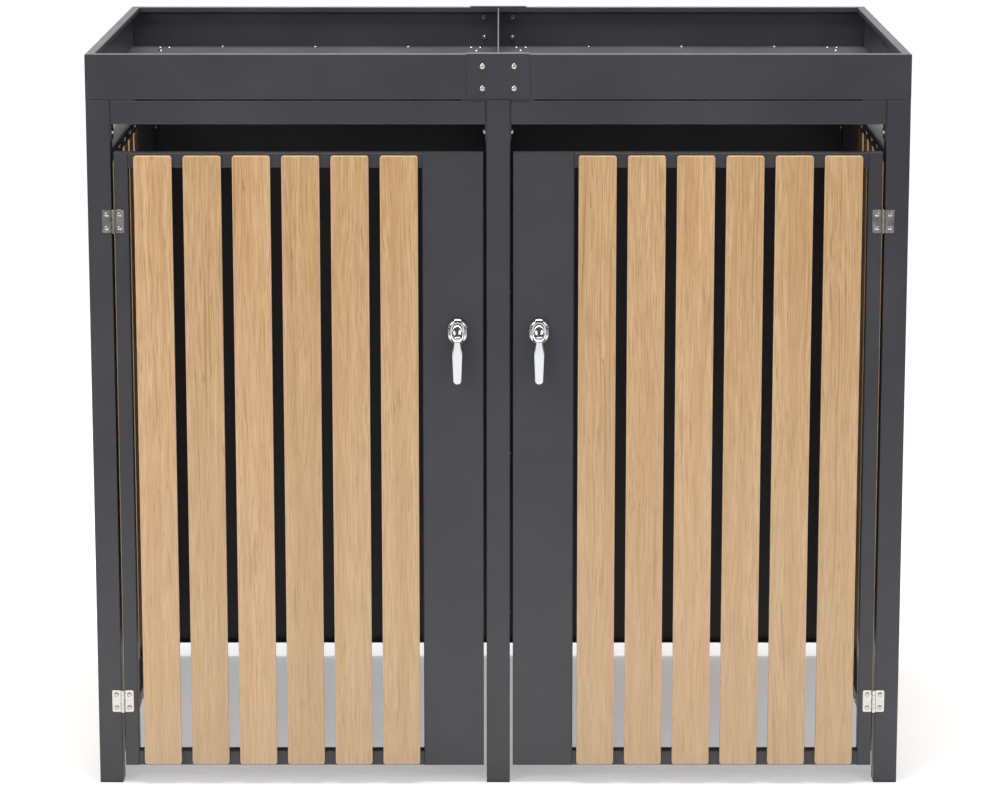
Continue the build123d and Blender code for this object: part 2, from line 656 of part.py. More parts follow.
post_leaves = [hinge_leaf(hinge_z, -1, 0) for hinge_z in HINGE_PLACES]
door_leaves = [hinge_leaf(hinge_z, 1, 1) for hinge_z in HINGE_PLACES]
pins = [
    rod(
        (HINGE_X, HINGE_Y, hinge_z - LEAF_HEIGHT / 2 - PIN_PROUD), UPWARD,
        PIN_RADIUS, LEAF_HEIGHT + 2 * PIN_PROUD,
    )
    for hinge_z in HINGE_PLACES
]
post_points = [point for hinge_z in HINGE_PLACES for point in hinge_screw_points(hinge_z, -1)]
door_points = [point for hinge_z in HINGE_PLACES for point in hinge_screw_points(hinge_z, 1)]
post_screws = [hinge_screw(point) for point in post_points]
door_hinge_holes = [hinge_screw_hole(point) for point in door_points]
for point in post_points:
    add_post_hole("front_left", hinge_screw_hole(point))
    add_post_hole("front_right", mirror(hinge_screw_hole(point), about=Plane.YZ))
save("hinge_post_leaves", *post_leaves, *[mirror(leaf, about=Plane.YZ) for leaf in post_leaves])
save("hinge_pins", *pins, *[mirror(pin, about=Plane.YZ) for pin in pins])
save("hinge_post_screws", *post_screws, *[mirror(screw, about=Plane.YZ) for screw in post_screws])
save_pair("door_hinge_leaves", *door_leaves)

# Posts with all their holes, and the plastic foot cap under each
foot_caps = []
plug_size = POST_SIZE - 2 * POST_WALL - 2 * FOOT_PLUG_CLEARANCE
for row, row_y in POST_Y.items():
    for column, column_x in POST_X.items():
        post_name = row + "_" + column
        post = tube(
            "z", (column_x, row_y, FOOT_THICKNESS), POST_HEIGHT - FOOT_THICKNESS,
            POST_SIZE, POST_SIZE, POST_WALL,
        )
        save(post_name + "_post", post - post_holes[post_name])
        cap = extrude(RectangleRounded(POST_SIZE, POST_SIZE, TUBE_CORNER), FOOT_THICKNESS)
        cap += extrude(RectangleRounded(plug_size, plug_size, POST_WALL), FOOT_PLUG_HEIGHT)
        foot_caps.append(Pos(column_x, row_y, 0) * cap)
save("foot_caps", *foot_caps)

# Door frame: two stiles with rails between them, all flush at the front
door_y = FRONT + DOOR_DEPTH / 2
stile_height = DOOR_TOP - DOOR_FLOOR_GAP
rail_start = DOOR_LEFT + HINGE_STILE_WIDTH
lock_start = DOOR_RIGHT - LOCK_STILE_WIDTH
hinge_stile = tube(
    "z", (DOOR_LEFT + HINGE_STILE_WIDTH / 2, door_y, DOOR_FLOOR_GAP), stile_height,
    HINGE_STILE_WIDTH, DOOR_DEPTH, DOOR_WALL, capped=True,
)
lock_stile = tube(
    "z", (lock_start + LOCK_STILE_WIDTH / 2, door_y, DOOR_FLOOR_GAP), stile_height,
    LOCK_STILE_WIDTH, DOOR_DEPTH, DOOR_WALL, capped=True,
)
rail_z_places = (DOOR_FLOOR_GAP + DOOR_RAIL_HEIGHT / 2, DOOR_TOP - DOOR_RAIL_HEIGHT / 2)
door_rails = [
    tube(
        "x", (rail_start, door_y, rail_z), lock_start - rail_start,
        DOOR_DEPTH, DOOR_RAIL_HEIGHT, DOOR_WALL,
    )
    for rail_z in rail_z_places
]
barrel_hole = rod(
    (HANDLE_X, FRONT - DOOR_DEPTH, HANDLE_HEIGHT), REARWARD,
    BARREL_RADIUS + BARREL_CLEARANCE, 3 * DOOR_DEPTH,
)
save_pair("door_hinge_stile", hinge_stile - door_hinge_holes)
save_pair("door_lock_stile", lock_stile - barrel_hole)

# Door slats on the front of the rails, screwed from behind
first_door_slat = rail_start + SLAT_GAP_AT_HINGE + SLAT_WIDTH / 2
last_door_slat = lock_start - SLAT_GAP_AT_LOCK - SLAT_WIDTH / 2
door_slat_places = spread(first_door_slat, last_door_slat, DOOR_SLAT_COUNT)
door_screw_length = DOOR_DEPTH + SLAT_SCREW_BITE
door_screws = [hinge_screw(point) for point in door_points]
door_screw_holes = []
for slat_x in door_slat_places:
    for rail_z in rail_z_places:
        seat = (slat_x, FRONT + DOOR_DEPTH, rail_z)
        door_screws.append(fastener(
            seat, REARWARD, SHEET_SCREW_RADIUS, door_screw_length,
            SHEET_SCREW_HEAD_RADIUS, SHEET_SCREW_HEAD_HEIGHT,
        ))
        door_screw_holes.append(
            clearance_hole(seat, REARWARD, SHEET_SCREW_RADIUS, door_screw_length)
        )
door_slats = [slat("x", slat_x, FRONT - SLAT_THICKNESS, -1) for slat_x in door_slat_places]
save_pair("door_bottom_rail", door_rails[0] - door_screw_holes)
save_pair("door_top_rail", door_rails[1] - door_screw_holes)
save_pair("door_slats", *[board - door_screw_holes for board in door_slats])
save_pair("door_screws", *door_screws)

# Handle parts, built about the spindle axis: local X across, local Y up, local Z outward
handle_frame = Plane(origin=(HANDLE_X, FRONT, HANDLE_HEIGHT), x_dir=(1, 0, 0), z_dir=FRONTWARD)
CAM_FRONT = -(POST_SIZE + CAM_POST_CLEARANCE)
CAM_BACK = CAM_FRONT - CAM_THICKNESS
NUT_BACK = -(DOOR_DEPTH + LOCK_NUT_HEIGHT)
BARREL_END = NUT_BACK - LOCK_NUT_HEIGHT / 2
CAM_LENGTH = HANDLE_EDGE_DISTANCE + DOOR_GAP + CAM_OVERLAP


def rosette():
    """Domed oval rosette with its threaded barrel through the lock stile."""
    outline = Rot(0, 0, 90) * SlotOverall(ROSETTE_LENGTH, ROSETTE_WIDTH)
    pad = extrude(Pos(0, (ROSETTE_WIDTH - ROSETTE_LENGTH) / 2) * outline, ROSETTE_HEIGHT)
    pad = fillet(pad.edges().group_by(Axis.Z)[-1], ROSETTE_HEIGHT - ROSETTE_RIM)
    barrel = rod((0, 0, BARREL_END), UPWARD, BARREL_RADIUS, ROSETTE_RIM - BARREL_END)
    bore_length = 2 * ROSETTE_HEIGHT - BARREL_END
    bore = rod((0, 0, BARREL_END), UPWARD, SPINDLE_RADIUS + SPINDLE_CLEARANCE, bore_length)
    return pad + barrel - bore


def lever():
    """Lever with its flared neck, tapered blade, spindle, square end and peened rivet head."""
    start = -NECK_DROP / 2
    right_side = [
        (LEVER_NECK_WIDTH / 2, start),
        (LEVER_WIDTH / 2, -LEVER_WIDEST_DROP),
        (LEVER_TIP_WIDTH / 2, -LEVER_DROP),
    ]
    left_side = [(-x, y) for x, y in reversed(right_side)]
    outline = make_face(Polyline(*right_side, *left_side, close=True))
    rows = outline.vertices().group_by(Axis.Y)
    outline = fillet(rows[0], LEVER_TIP_ROUNDING)
    shoulders = outline.vertices().filter_by_position(Axis.X, LEVER_WIDTH / 2, LEVER_WIDTH)
    shoulders += outline.vertices().filter_by_position(Axis.X, -LEVER_WIDTH, -LEVER_WIDTH / 2)
    outline = fillet(shoulders, LEVER_SHOULDER_RADIUS)
    front = LEVER_REACH - LEVER_INSET
    back = front - LEVER_THICKNESS
    tip_front = front - LEVER_TIP_SETBACK
    tip_back = tip_front - LEVER_TIP_THICKNESS
    half = -LEVER_DROP / 2
    below = -(LEVER_DROP + LEVER_TIP_WIDTH)
    front_bulge = front - LEVER_TIP_SETBACK / 3
    back_bulge = back - LEVER_TIP_SETBACK / 6
    side_face = make_face([
        Polyline((0, back), (LEVER_WIDTH, back), (LEVER_WIDTH, front), (0, front)),
        ThreePointArc((0, front), (half, front_bulge), (below, tip_front)),
        Line((below, tip_front), (below, tip_back)),
        ThreePointArc((below, tip_back), (half, back_bulge), (0, back)),
    ])
    side_frame = Plane(origin=(-LEVER_WIDTH, 0, 0), x_dir=(0, 1, 0), z_dir=(1, 0, 0))
    side = side_frame * extrude(side_face, 2 * LEVER_WIDTH)
    blade = extrude(outline, 2 * LEVER_REACH) & side
    blade = fillet(blade.edges(), LEVER_ROUNDING)
    tilt = math.radians(NECK_BEND_TILT)
    neck_root = ROSETTE_HEIGHT + LEVER_LIFT
    neck_end = LEVER_REACH - NECK_END_DEPTH / 2
    bend_frame = Plane(
        origin=(0, -NECK_BEND_DROP, NECK_BEND_REACH), x_dir=(1, 0, 0),
        z_dir=(0, -math.sin(tilt), math.cos(tilt)),
    )
    end_frame = Plane(origin=(0, -NECK_DROP, neck_end), x_dir=(1, 0, 0), z_dir=(0, -1, 0))
    neck = loft([
        Pos(0, 0, neck_root) * Circle(NECK_ROOT_RADIUS),
        bend_frame * Ellipse(NECK_BEND_WIDTH / 2, NECK_BEND_DEPTH / 2),
        end_frame * Ellipse(NECK_END_WIDTH / 2, NECK_END_DEPTH / 2),
    ])
    neck = fillet(neck.edges().group_by(Axis.Y)[0], NECK_RIM_ROUNDING)
    shaft_end = (neck_root + NECK_BEND_REACH) / 2
    shaft = rod((0, 0, CAM_FRONT), UPWARD, SPINDLE_RADIUS, shaft_end - CAM_FRONT)
    square_end = CAM_BACK - CAM_SQUARE_CLEARANCE
    square_length = -square_end
    square = Pos(0, 0, square_end) * extrude(Rectangle(CAM_SQUARE, CAM_SQUARE), square_length)
    rivet = rod((0, 0, square_end - RIVET_HEIGHT), UPWARD, RIVET_RADIUS, RIVET_HEIGHT)
    return neck + blade + shaft + square + rivet


def cam():
    """Locking cam that reaches behind the middle post when the lever is turned."""
    outline = Circle(CAM_WIDTH / 2) + Pos(0, CAM_LENGTH / 2) * Rectangle(CAM_WIDTH, CAM_LENGTH)
    nose = outline.vertices().group_by(Axis.Y)[-1]
    outline = fillet(nose, CAM_WIDTH / 4)
    hole = CAM_SQUARE + 2 * CAM_SQUARE_CLEARANCE
    return Pos(0, 0, CAM_BACK) * extrude(outline - Rectangle(hole, hole), CAM_THICKNESS)


nut_bore = Circle(BARREL_RADIUS + BARREL_CLEARANCE)
lock_nut = extrude(RegularPolygon(LOCK_NUT_RADIUS, 6) - nut_bore, LOCK_NUT_HEIGHT)
save_pair("handle_rosette", handle_frame * rosette())
save_pair("handle_nut", handle_frame * Pos(0, 0, NUT_BACK) * lock_nut)
save_pair("handle_lever", handle_frame * lever())
save_pair("handle_cam", handle_frame * cam())
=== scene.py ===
import json
import math

import bmesh
import bpy
from mathutils import Matrix, Vector


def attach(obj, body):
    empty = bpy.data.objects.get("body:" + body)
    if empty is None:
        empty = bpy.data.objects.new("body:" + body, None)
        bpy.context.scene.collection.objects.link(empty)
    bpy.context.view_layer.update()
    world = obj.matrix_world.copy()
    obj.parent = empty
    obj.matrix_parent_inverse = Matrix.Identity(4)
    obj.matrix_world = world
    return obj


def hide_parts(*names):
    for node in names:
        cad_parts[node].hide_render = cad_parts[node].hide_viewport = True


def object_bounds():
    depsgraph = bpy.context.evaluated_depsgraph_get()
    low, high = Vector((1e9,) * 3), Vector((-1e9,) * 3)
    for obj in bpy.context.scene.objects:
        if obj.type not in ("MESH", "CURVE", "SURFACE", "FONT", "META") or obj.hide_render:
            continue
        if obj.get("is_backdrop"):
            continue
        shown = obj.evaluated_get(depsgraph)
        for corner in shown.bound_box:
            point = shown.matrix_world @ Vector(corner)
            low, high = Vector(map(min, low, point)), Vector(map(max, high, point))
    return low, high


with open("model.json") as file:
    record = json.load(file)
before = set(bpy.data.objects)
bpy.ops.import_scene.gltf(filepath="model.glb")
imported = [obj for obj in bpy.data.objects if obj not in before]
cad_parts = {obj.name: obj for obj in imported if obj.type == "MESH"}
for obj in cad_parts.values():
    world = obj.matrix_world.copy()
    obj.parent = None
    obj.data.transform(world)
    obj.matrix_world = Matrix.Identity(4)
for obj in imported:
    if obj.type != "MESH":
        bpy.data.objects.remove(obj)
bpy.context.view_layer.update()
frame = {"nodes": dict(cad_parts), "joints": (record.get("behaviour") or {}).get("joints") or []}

bpy.ops.object.select_all(action="DESELECT")


# Posts and headers
# Six posts and seven headers of 40 mm square steel tube with rounded corners, and the welded
# end brackets and flat gussets that join them. All are coated in anthracite polyester powder.

def linear(code):
    """Linear colour of an sRGB hex value."""
    parts = [int(code[start:start + 2], 16) / 255 for start in (1, 3, 5)]
    return [p / 12.92 if p <= 0.04045 else ((p + 0.055) / 1.055) ** 2.4 for p in parts] + [1.0]


def add_node(material, kind, inputs=None, **settings):
    """Adds a node with its settings; each input takes a value or a link. Returns its outputs."""
    made = material.node_tree.nodes.new("ShaderNode" + kind)
    for name, value in settings.items():
        setattr(made, name, value)
    for name, value in (inputs or {}).items():
        if isinstance(value, bpy.types.NodeSocket):
            material.node_tree.links.new(value, made.inputs[name])
        else:
            made.inputs[name].default_value = value
    return made.outputs


def start_material(name):
    """A new material with an empty node tree."""
    material = bpy.data.materials.new(name)
    material.use_nodes = True
    material.node_tree.nodes.clear()
    return material


def dress(material, *names):
    """Gives CAD nodes a material."""
    for name in names:
        slots = frame["nodes"][name].data.materials
        for index in range(len(slots)):
            slots[index] = material


# A Mix node's sockets for colours: its two inputs and its result
colour_a = 6
colour_b = 7
colour_out = 2

# Polyester powder coat, sprayed and baked: an even dark grey with a soft satin gloss, and a
# fine grain and slight orange peel that break up highlights. It is painted lighter low down, as
# painted bounce light from the floor, and on level faces, as dust with painted light from above.
powder_coat = start_material("polyester_powder_coat_anthracite")
place = add_node(powder_coat, "TexCoord")["Object"]
# Uneven film thickness shows as soft clouds about 150 mm across
cloud = add_node(powder_coat, "TexNoise", {
    "Vector": place, "Scale": 1 / 0.150, "Detail": 3.0})["Fac"]
# The real grain is about 0.3 mm; it is drawn at 1.5 mm so that it shows
grain = add_node(powder_coat, "TexNoise", {
    "Vector": place, "Scale": 1 / 0.0015, "Detail": 2.0})["Fac"]
# Orange peel waves about 8 mm long
peel = add_node(powder_coat, "TexNoise", {
    "Vector": place, "Scale": 1 / 0.008, "Detail": 1.0})["Fac"]
height = add_node(powder_coat, "SeparateXYZ", {"Vector": place})["Z"]
tone = add_node(powder_coat, "MapRange", {
    "Value": cloud, "From Min": 0.35, "From Max": 0.65})["Result"]
colour = add_node(powder_coat, "Mix", {
    "Factor": tone, colour_a: linear("#3a3a40"), colour_b: linear("#3f3f45"),
}, data_type="RGBA")[colour_out]
# Painted bounce light: the colour is painted lighter over the lowest 600 mm, fading upwards. Faces
# within about 30 degrees of level are painted lighter too, as dust with painted light from above
low = add_node(powder_coat, "MapRange", {
    "Value": height, "From Min": 0.0, "From Max": 0.6, "To Min": 0.16, "To Max": 0.0})["Result"]
facing = add_node(powder_coat, "NewGeometry")["Normal"]
upward = add_node(powder_coat, "SeparateXYZ", {"Vector": facing})["Z"]
level = add_node(powder_coat, "MapRange", {
    "Value": upward, "From Min": 0.8, "From Max": 0.95, "To Max": 0.30})["Result"]
thick = add_node(powder_coat, "MapRange", {
    "Value": cloud, "From Min": 0.3, "From Max": 0.7, "To Min": 0.4, "To Max": 0.6})["Result"]
dust_and_painted_light = add_node(powder_coat, "Math", {0: low, 1: level}, operation="MAXIMUM")["Value"]
dust_and_painted_light = add_node(powder_coat, "Math", {0: dust_and_painted_light, 1: thick}, operation="MULTIPLY")["Value"]
# Mixes the pale dust colour in as painted bounce light low down, and as dust with painted top light
# on level faces
colour = add_node(powder_coat, "Mix", {
    "Factor": dust_and_painted_light, colour_a: colour, colour_b: linear("#8d8a84"),
}, data_type="RGBA")[colour_out]
gloss = add_node(powder_coat, "MapRange", {
    "Value": cloud, "From Min": 0.3, "From Max": 0.7, "To Min": 0.30, "To Max": 0.40})["Result"]
waves = add_node(powder_coat, "Bump", {
    "Height": peel, "Strength": 0.12, "Distance": 0.0004})["Normal"]
relief = add_node(powder_coat, "Bump", {
    "Height": grain, "Strength": 0.20, "Distance": 0.0002, "Normal": waves})["Normal"]
shader = add_node(powder_coat, "BsdfPrincipled", {
    "Base Color": colour, "Roughness": gloss, "IOR": 1.5, "Specular IOR Level": 0.35,
    "Normal": relief})["BSDF"]
add_node(powder_coat, "OutputMaterial", {"Surface": shader})

dress(
    powder_coat, "front_left_post", "front_middle_post", "front_right_post", "rear_left_post",
    "rear_middle_post", "rear_right_post", "left_front_header", "right_front_header",
    "rear_headers", "cross_headers", "header_brackets", "corner_gussets",
)


# Foot caps
# Black polyethylene caps pushed into the lower ends of the posts. They are injection moulded,
# with a spark-eroded matt skin, and keep the cut tube off the ground.

# Moulded polyethylene: near black, waxy and matt, with a fine even texture
polyethylene = start_material("moulded_polyethylene_black")
place = add_node(polyethylene, "TexCoord")["Object"]
# The mould texture is about 0.2 mm; it is drawn at 1 mm so that it shows
skin = add_node(polyethylene, "TexNoise", {
    "Vector": place, "Scale": 1 / 0.001, "Detail": 2.0})["Fac"]
# Scuffs from standing on paving, about 12 mm across
scuff = add_node(polyethylene, "TexNoise", {
    "Vector": place, "Scale": 1 / 0.012, "Detail": 3.0})["Fac"]
worn = add_node(polyethylene, "MapRange", {
    "Value": scuff, "From Min": 0.55, "From Max": 0.75, "To Max": 0.5})["Result"]
colour = add_node(polyethylene, "Mix", {
    "Factor": worn, colour_a: linear("#1b1b1c"), colour_b: linear("#3a3a39"),
}, data_type="RGBA")[colour_out]
gloss = add_node(polyethylene, "MapRange", {
    "Value": scuff, "To Min": 0.5, "To Max": 0.7})["Result"]
relief = add_node(polyethylene, "Bump", {
    "Height": skin, "Strength": 0.2, "Distance": 0.0002})["Normal"]
shader = add_node(polyethylene, "BsdfPrincipled", {
    "Base Color": colour, "Roughness": gloss, "IOR": 1.51, "Normal": relief})["BSDF"]
add_node(polyethylene, "OutputMaterial", {"Surface": shader})
dress(polyethylene, "foot_caps")


# Frame bolts
# M6 button-head bolts of stainless steel with a hexagon socket. One goes through the tab of
# every header bracket into the post.

# Cold-headed stainless steel: bright warm grey metal with fine drawing marks and a soft gloss
stainless = start_material("stainless_steel_bright")
place = add_node(stainless, "TexCoord")["Object"]
# Drawing marks are about 0.05 mm apart; they are drawn 0.5 mm apart and 20 mm long
stretched = add_node(stainless, "VectorMath", {
    0: place, 1: (1 / 0.0005, 1 / 0.0005, 1 / 0.020)}, operation="MULTIPLY")["Vector"]
marks = add_node(stainless, "TexNoise", {"Vector": stretched, "Scale": 1.0, "Detail": 2.0})["Fac"]
# Handling leaves duller patches about 15 mm across
patch = add_node(stainless, "TexNoise", {"Vector": place, "Scale": 1 / 0.015, "Detail": 2.0})["Fac"]
colour = add_node(stainless, "Mix", {
    "Factor": patch, colour_a: linear("#bbb9b3"), colour_b: linear("#d2d0cb"),
}, data_type="RGBA")[colour_out]
gloss = add_node(stainless, "MapRange", {"Value": patch, "To Min": 0.14, "To Max": 0.28})["Result"]
relief = add_node(stainless, "Bump", {
    "Height": marks, "Strength": 0.08, "Distance": 0.0001})["Normal"]
shader = add_node(stainless, "BsdfPrincipled", {
    "Base Color": colour, "Metallic": 1.0, "Roughness": gloss, "Normal": relief})["BSDF"]
add_node(stainless, "OutputMaterial", {"Surface": shader})

# Pieces are modelled in millimetres, and brought to metres when they are set out
mm_per_m = 1000
near = 0.01
seat_tolerance = 0.5
smooth_angle = math.radians(35)
# Shares of a fastener's own sizes
rim_share = 0.35
socket_share = 0.45
tip_share = 0.4


def pick(kind, test):
    """Selects the verts, edges or faces of the piece in edit mode that pass a test."""
    mode = {"verts": "VERT", "edges": "EDGE", "faces": "FACE"}[kind]
    bpy.ops.mesh.select_mode(type=mode)
    bpy.ops.mesh.select_all(action="DESELECT")
    mesh = bmesh.from_edit_mesh(bpy.context.object.data)
    for item in getattr(mesh, kind):
        if test(item):
            item.select_set(True)
    bmesh.update_edit_mesh(bpy.context.object.data)


def flat_at(axis, value):
    """A test for edges or faces that lie flat across an axis at a value."""
    return lambda item: all(abs(vert.co[axis] - value) < near for vert in item.verts)


def join(*shapes):
    """Joins shapes into the first one, with its place in its mesh."""
    bpy.ops.object.select_all(action="DESELECT")
    for shape in shapes:
        shape.select_set(True)
    bpy.context.view_layer.objects.active = shapes[0]
    bpy.ops.object.join()
    bpy.ops.object.transform_apply(location=True, rotation=True, scale=True)
    return shapes[0]


def cut_away(shape, cutter):
    """Takes a cutter's volume out of a shape and removes the cutter."""
    bpy.context.view_layer.objects.active = shape
    cut = shape.modifiers.new("cut", "BOOLEAN")
    cut.object = cutter
    cut.operation = "DIFFERENCE"
    cut.solver = "EXACT"
    bpy.ops.object.modifier_apply(modifier="cut")
    bpy.data.objects.remove(cutter)


def set_out(name, model, places, first_number=1):
    """Copies a model in millimetres to every place as one piece in metres, its copies numbered."""
    copies = []
    for number, place in enumerate(places, first_number):
        copy = model.copy()
        copy.data = model.data.copy()
        copy.data.transform(Matrix.Scale(1 / mm_per_m, 4) @ place)
        mark = copy.data.attributes.new("copy_number", "FLOAT", "POINT")
        mark.data.foreach_set("value", [float(number)] * len(copy.data.vertices))
        bpy.context.collection.objects.link(copy)
        copies.append(copy)
    bpy.data.objects.remove(model)
    piece = join(*copies)
    bpy.ops.object.shade_smooth_by_angle(angle=smooth_angle)
    flat = piece.modifiers.new("flat", "WEIGHTED_NORMAL")
    flat.keep_sharp = True
    bpy.ops.object.modifier_apply(modifier="flat")
    bpy.ops.object.select_all(action="DESELECT")
    piece.name = name
    return piece


def settle(piece, material, slot, body, *nodes):
    """Gives a piece its material and body, and hides the CAD nodes that it stands for. The slot is
    not used.
    """
    piece.data.materials.append(material)
    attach(piece, body)
    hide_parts(*nodes)


def loose_parts(node):
    """The corners of each separate solid of a CAD node, in millimetres."""
    mesh = bmesh.new()
    mesh.from_mesh(frame["nodes"][node].data)
    bmesh.ops.remove_doubles(mesh, verts=mesh.verts, dist=1e-6)
    parts = []
    for vert in mesh.verts:
        vert.tag = False
    for first in mesh.verts:
        if first.tag:
            continue
        first.tag = True
        part = [first]
        for vert in part:
            for edge in vert.link_edges:
                other = edge.other_vert(vert)
                if not other.tag:
                    other.tag = True
                    part.append(other)
        parts.append([vert.co * mm_per_m for vert in part])
    mesh.free()
    return parts


def head_places(node, head_height, shank_length):
    """The seat of each fastener of that length in a CAD node, with Z out through its head."""
    places = []
    for part in loose_parts(node):
        low = Vector([min(corner[axis] for corner in part) for axis in range(3)])
        high = Vector([max(corner[axis] for corner in part) for axis in range(3)])
        middle = (low + high) / 2
        along = max(range(3), key=lambda axis: high[axis] - low[axis])
        length = high[along] - low[along]
        if abs(length - head_height - shank_length) > seat_tolerance:
            continue
        across = Vector([0.0 if axis == along else 1.0 for axis in range(3)])
        rim = max(part, key=lambda corner: ((corner - middle) * across).length)
        outward = Vector([0.0, 0.0, 0.0])
        outward[along] = math.copysign(1.0, rim[along] - middle[along])
        turn = outward.to_track_quat("Z", "Y").to_matrix().to_4x4()
        places.append(Matrix.Translation(middle + outward * (length / 2 - head_height)) @ turn)
    return places


def shank(radius, length):
    """A bolt or screw shank below the origin, chamfered at its tip."""
    bpy.ops.mesh.primitive_cylinder_add(
        vertices=12, radius=radius, depth=length, location=(0, 0, -length / 2))
    bpy.ops.object.transform_apply(location=True)
    bpy.ops.object.mode_set(mode="EDIT")
    pick("edges", flat_at(2, -length))
    bpy.ops.mesh.bevel(offset=radius * tip_share, segments=1)
    bpy.ops.object.mode_set(mode="OBJECT")
    return bpy.context.object


def domed_disc(radius, height, sides, rings):
    """A fastener head on the origin: a low rim with a dome drawn up from it in rings."""
    rim = height * rim_share
    bpy.ops.mesh.primitive_cylinder_add(
        vertices=sides, radius=radius, depth=rim, location=(0, 0, rim / 2))
    bpy.ops.object.transform_apply(location=True)
    bpy.ops.object.mode_set(mode="EDIT")
    pick("faces", flat_at(2, rim))
    angles = [math.pi / 2 * ring / (rings + 1) for ring in range(rings + 1)]
    rise = (height - rim) / math.sin(angles[-1])
    for lower, upper in zip(angles, angles[1:]):
        bpy.ops.mesh.inset(
            thickness=radius * (math.cos(lower) - math.cos(upper)),
            depth=rise * (math.sin(upper) - math.sin(lower)))
    bpy.ops.object.mode_set(mode="OBJECT")
    return bpy.context.object


def button_bolt(head_radius, head_height, shank_radius, shank_length):
    """A button-head bolt with a hexagon socket."""
    head = domed_disc(head_radius, head_height, sides=28, rings=4)
    bpy.ops.mesh.primitive_cylinder_add(
        vertices=6, radius=head_radius * socket_share, depth=head_height,
        location=(0, 0, head_height))
    cut_away(head, bpy.context.object)
    return join(head, shank(shank_radius, shank_length))


def fit_fasteners(name, kind, sizes, body, node):
    """Sets a fastener out on every seat of its length in a CAD node."""
    places = head_places(node, sizes["head_height"], sizes["shank_length"])
    settle(set_out(name, kind(**sizes), places), stainless, "stainless_steel", body, node)


m6_bolt = {"head_radius": 5.0, "head_height": 4.0, "shank_radius": 3.0, "shank_length": 14.0}
fit_fasteners("frame_button_bolts", button_bolt, m6_bolt, "frame", "frame_bolts")


# Rear panels and side rails
# The rear panels are 1 mm steel sheet folded to shallow pans, and the side rails 25 mm steel
# tube between the posts. Both have the same powder coat as the frame.
dress(powder_coat, "left_rear_panel", "right_rear_panel", "left_side_rails", "right_side_rails")


# Side boards
# Upright boards of light oak wood-plastic, extruded 63.5 mm wide and 10 mm thick and cut to
# one length, with rounded corners and eased outer edges. Screws hold them from behind.

# Wood-plastic with a printed and embossed oak grain: pale honey brown and matt, with fine
# upright lines, a few long dark ones and short slanting pores. Each board has its own tone.
oak_board = start_material("wood_plastic_light_oak")
place = add_node(oak_board, "TexCoord")["Object"]
board = add_node(oak_board, "Attribute", attribute_name="copy_number")["Fac"]
# Each board is cut from another place in the grain, some metres away
apart = add_node(oak_board, "VectorMath", {
    0: (0.731, 1.217, 2.393), "Scale": board}, operation="SCALE")["Vector"]
moved = add_node(oak_board, "VectorMath", {0: place, 1: apart}, operation="ADD")["Vector"]
# The tree's own growth bends the grain sideways by up to 6 mm, over 60 mm across and 450 mm along
growth_at = add_node(oak_board, "VectorMath", {
    0: moved, 1: (1 / 0.060, 1 / 0.060, 1 / 0.450)}, operation="MULTIPLY")["Vector"]
growth = add_node(oak_board, "TexNoise", {
    "Vector": growth_at, "Scale": 1.0, "Detail": 1.0})["Color"]
bend = add_node(oak_board, "VectorMath", {
    0: growth, 1: (-0.5, -0.5, -0.5)}, operation="ADD")["Vector"]
bend = add_node(oak_board, "VectorMath", {
    0: bend, 1: (0.024, 0.024, 0.0)}, operation="MULTIPLY")["Vector"]
grown = add_node(oak_board, "VectorMath", {0: moved, 1: bend}, operation="ADD")["Vector"]
# Fine grain lines are about 0.8 mm wide; they are drawn 2 mm wide and 70 mm long
fine_at = add_node(oak_board, "VectorMath", {
    0: grown, 1: (1 / 0.0020, 1 / 0.0020, 1 / 0.070)}, operation="MULTIPLY")["Vector"]
fine = add_node(oak_board, "TexNoise", {
    "Vector": fine_at, "Scale": 1.0, "Detail": 3.0, "Roughness": 0.6})["Fac"]
# Broad growth bands about 14 mm wide and 700 mm long
band_at = add_node(oak_board, "VectorMath", {
    0: grown, 1: (1 / 0.014, 1 / 0.014, 1 / 0.700)}, operation="MULTIPLY")["Vector"]
band = add_node(oak_board, "TexNoise", {"Vector": band_at, "Scale": 1.0, "Detail": 2.0})["Fac"]
# Dark lines about 1.5 mm wide that run for a third of a board
line_at = add_node(oak_board, "VectorMath", {
    0: grown, 1: (1 / 0.0045, 1 / 0.0045, 1 / 0.700)}, operation="MULTIPLY")["Vector"]
line = add_node(oak_board, "TexNoise", {"Vector": line_at, "Scale": 1.0, "Detail": 0.0})["Fac"]
dark_line = add_node(oak_board, "MapRange", {
    "Value": line, "From Min": 0.70, "From Max": 0.78})["Result"]
# Slanting pores are about 0.3 mm wide; they are drawn 1 mm wide and 20 to 40 mm long
slanted = add_node(oak_board, "Mapping", {
    "Vector": grown, "Rotation": (math.radians(-3), math.radians(3), 0)})["Vector"]
pore_at = add_node(oak_board, "VectorMath", {
    0: slanted, 1: (1 / 0.0026, 1 / 0.0026, 1 / 0.220)}, operation="MULTIPLY")["Vector"]
pores = add_node(oak_board, "TexNoise", {"Vector": pore_at, "Scale": 1.0, "Detail": 0.0})["Fac"]
pore = add_node(oak_board, "MapRange", {
    "Value": pores, "From Min": 0.76, "From Max": 0.82})["Result"]
band_part = add_node(oak_board, "MapRange", {
    "Value": band, "From Min": 0.35, "From Max": 0.65})["Result"]
colour = add_node(oak_board, "Mix", {
    "Factor": band_part, colour_a: linear("#dab58a"), colour_b: linear("#cda274"),
}, data_type="RGBA")[colour_out]
fine_part = add_node(oak_board, "MapRange", {
    "Value": fine, "From Min": 0.40, "From Max": 0.68})["Result"]
colour = add_node(oak_board, "Mix", {
    "Factor": fine_part, colour_a: colour, colour_b: linear("#b98f60"),
}, data_type="RGBA")[colour_out]
line_part = add_node(oak_board, "Math", {0: dark_line, 1: 0.55}, operation="MULTIPLY")["Value"]
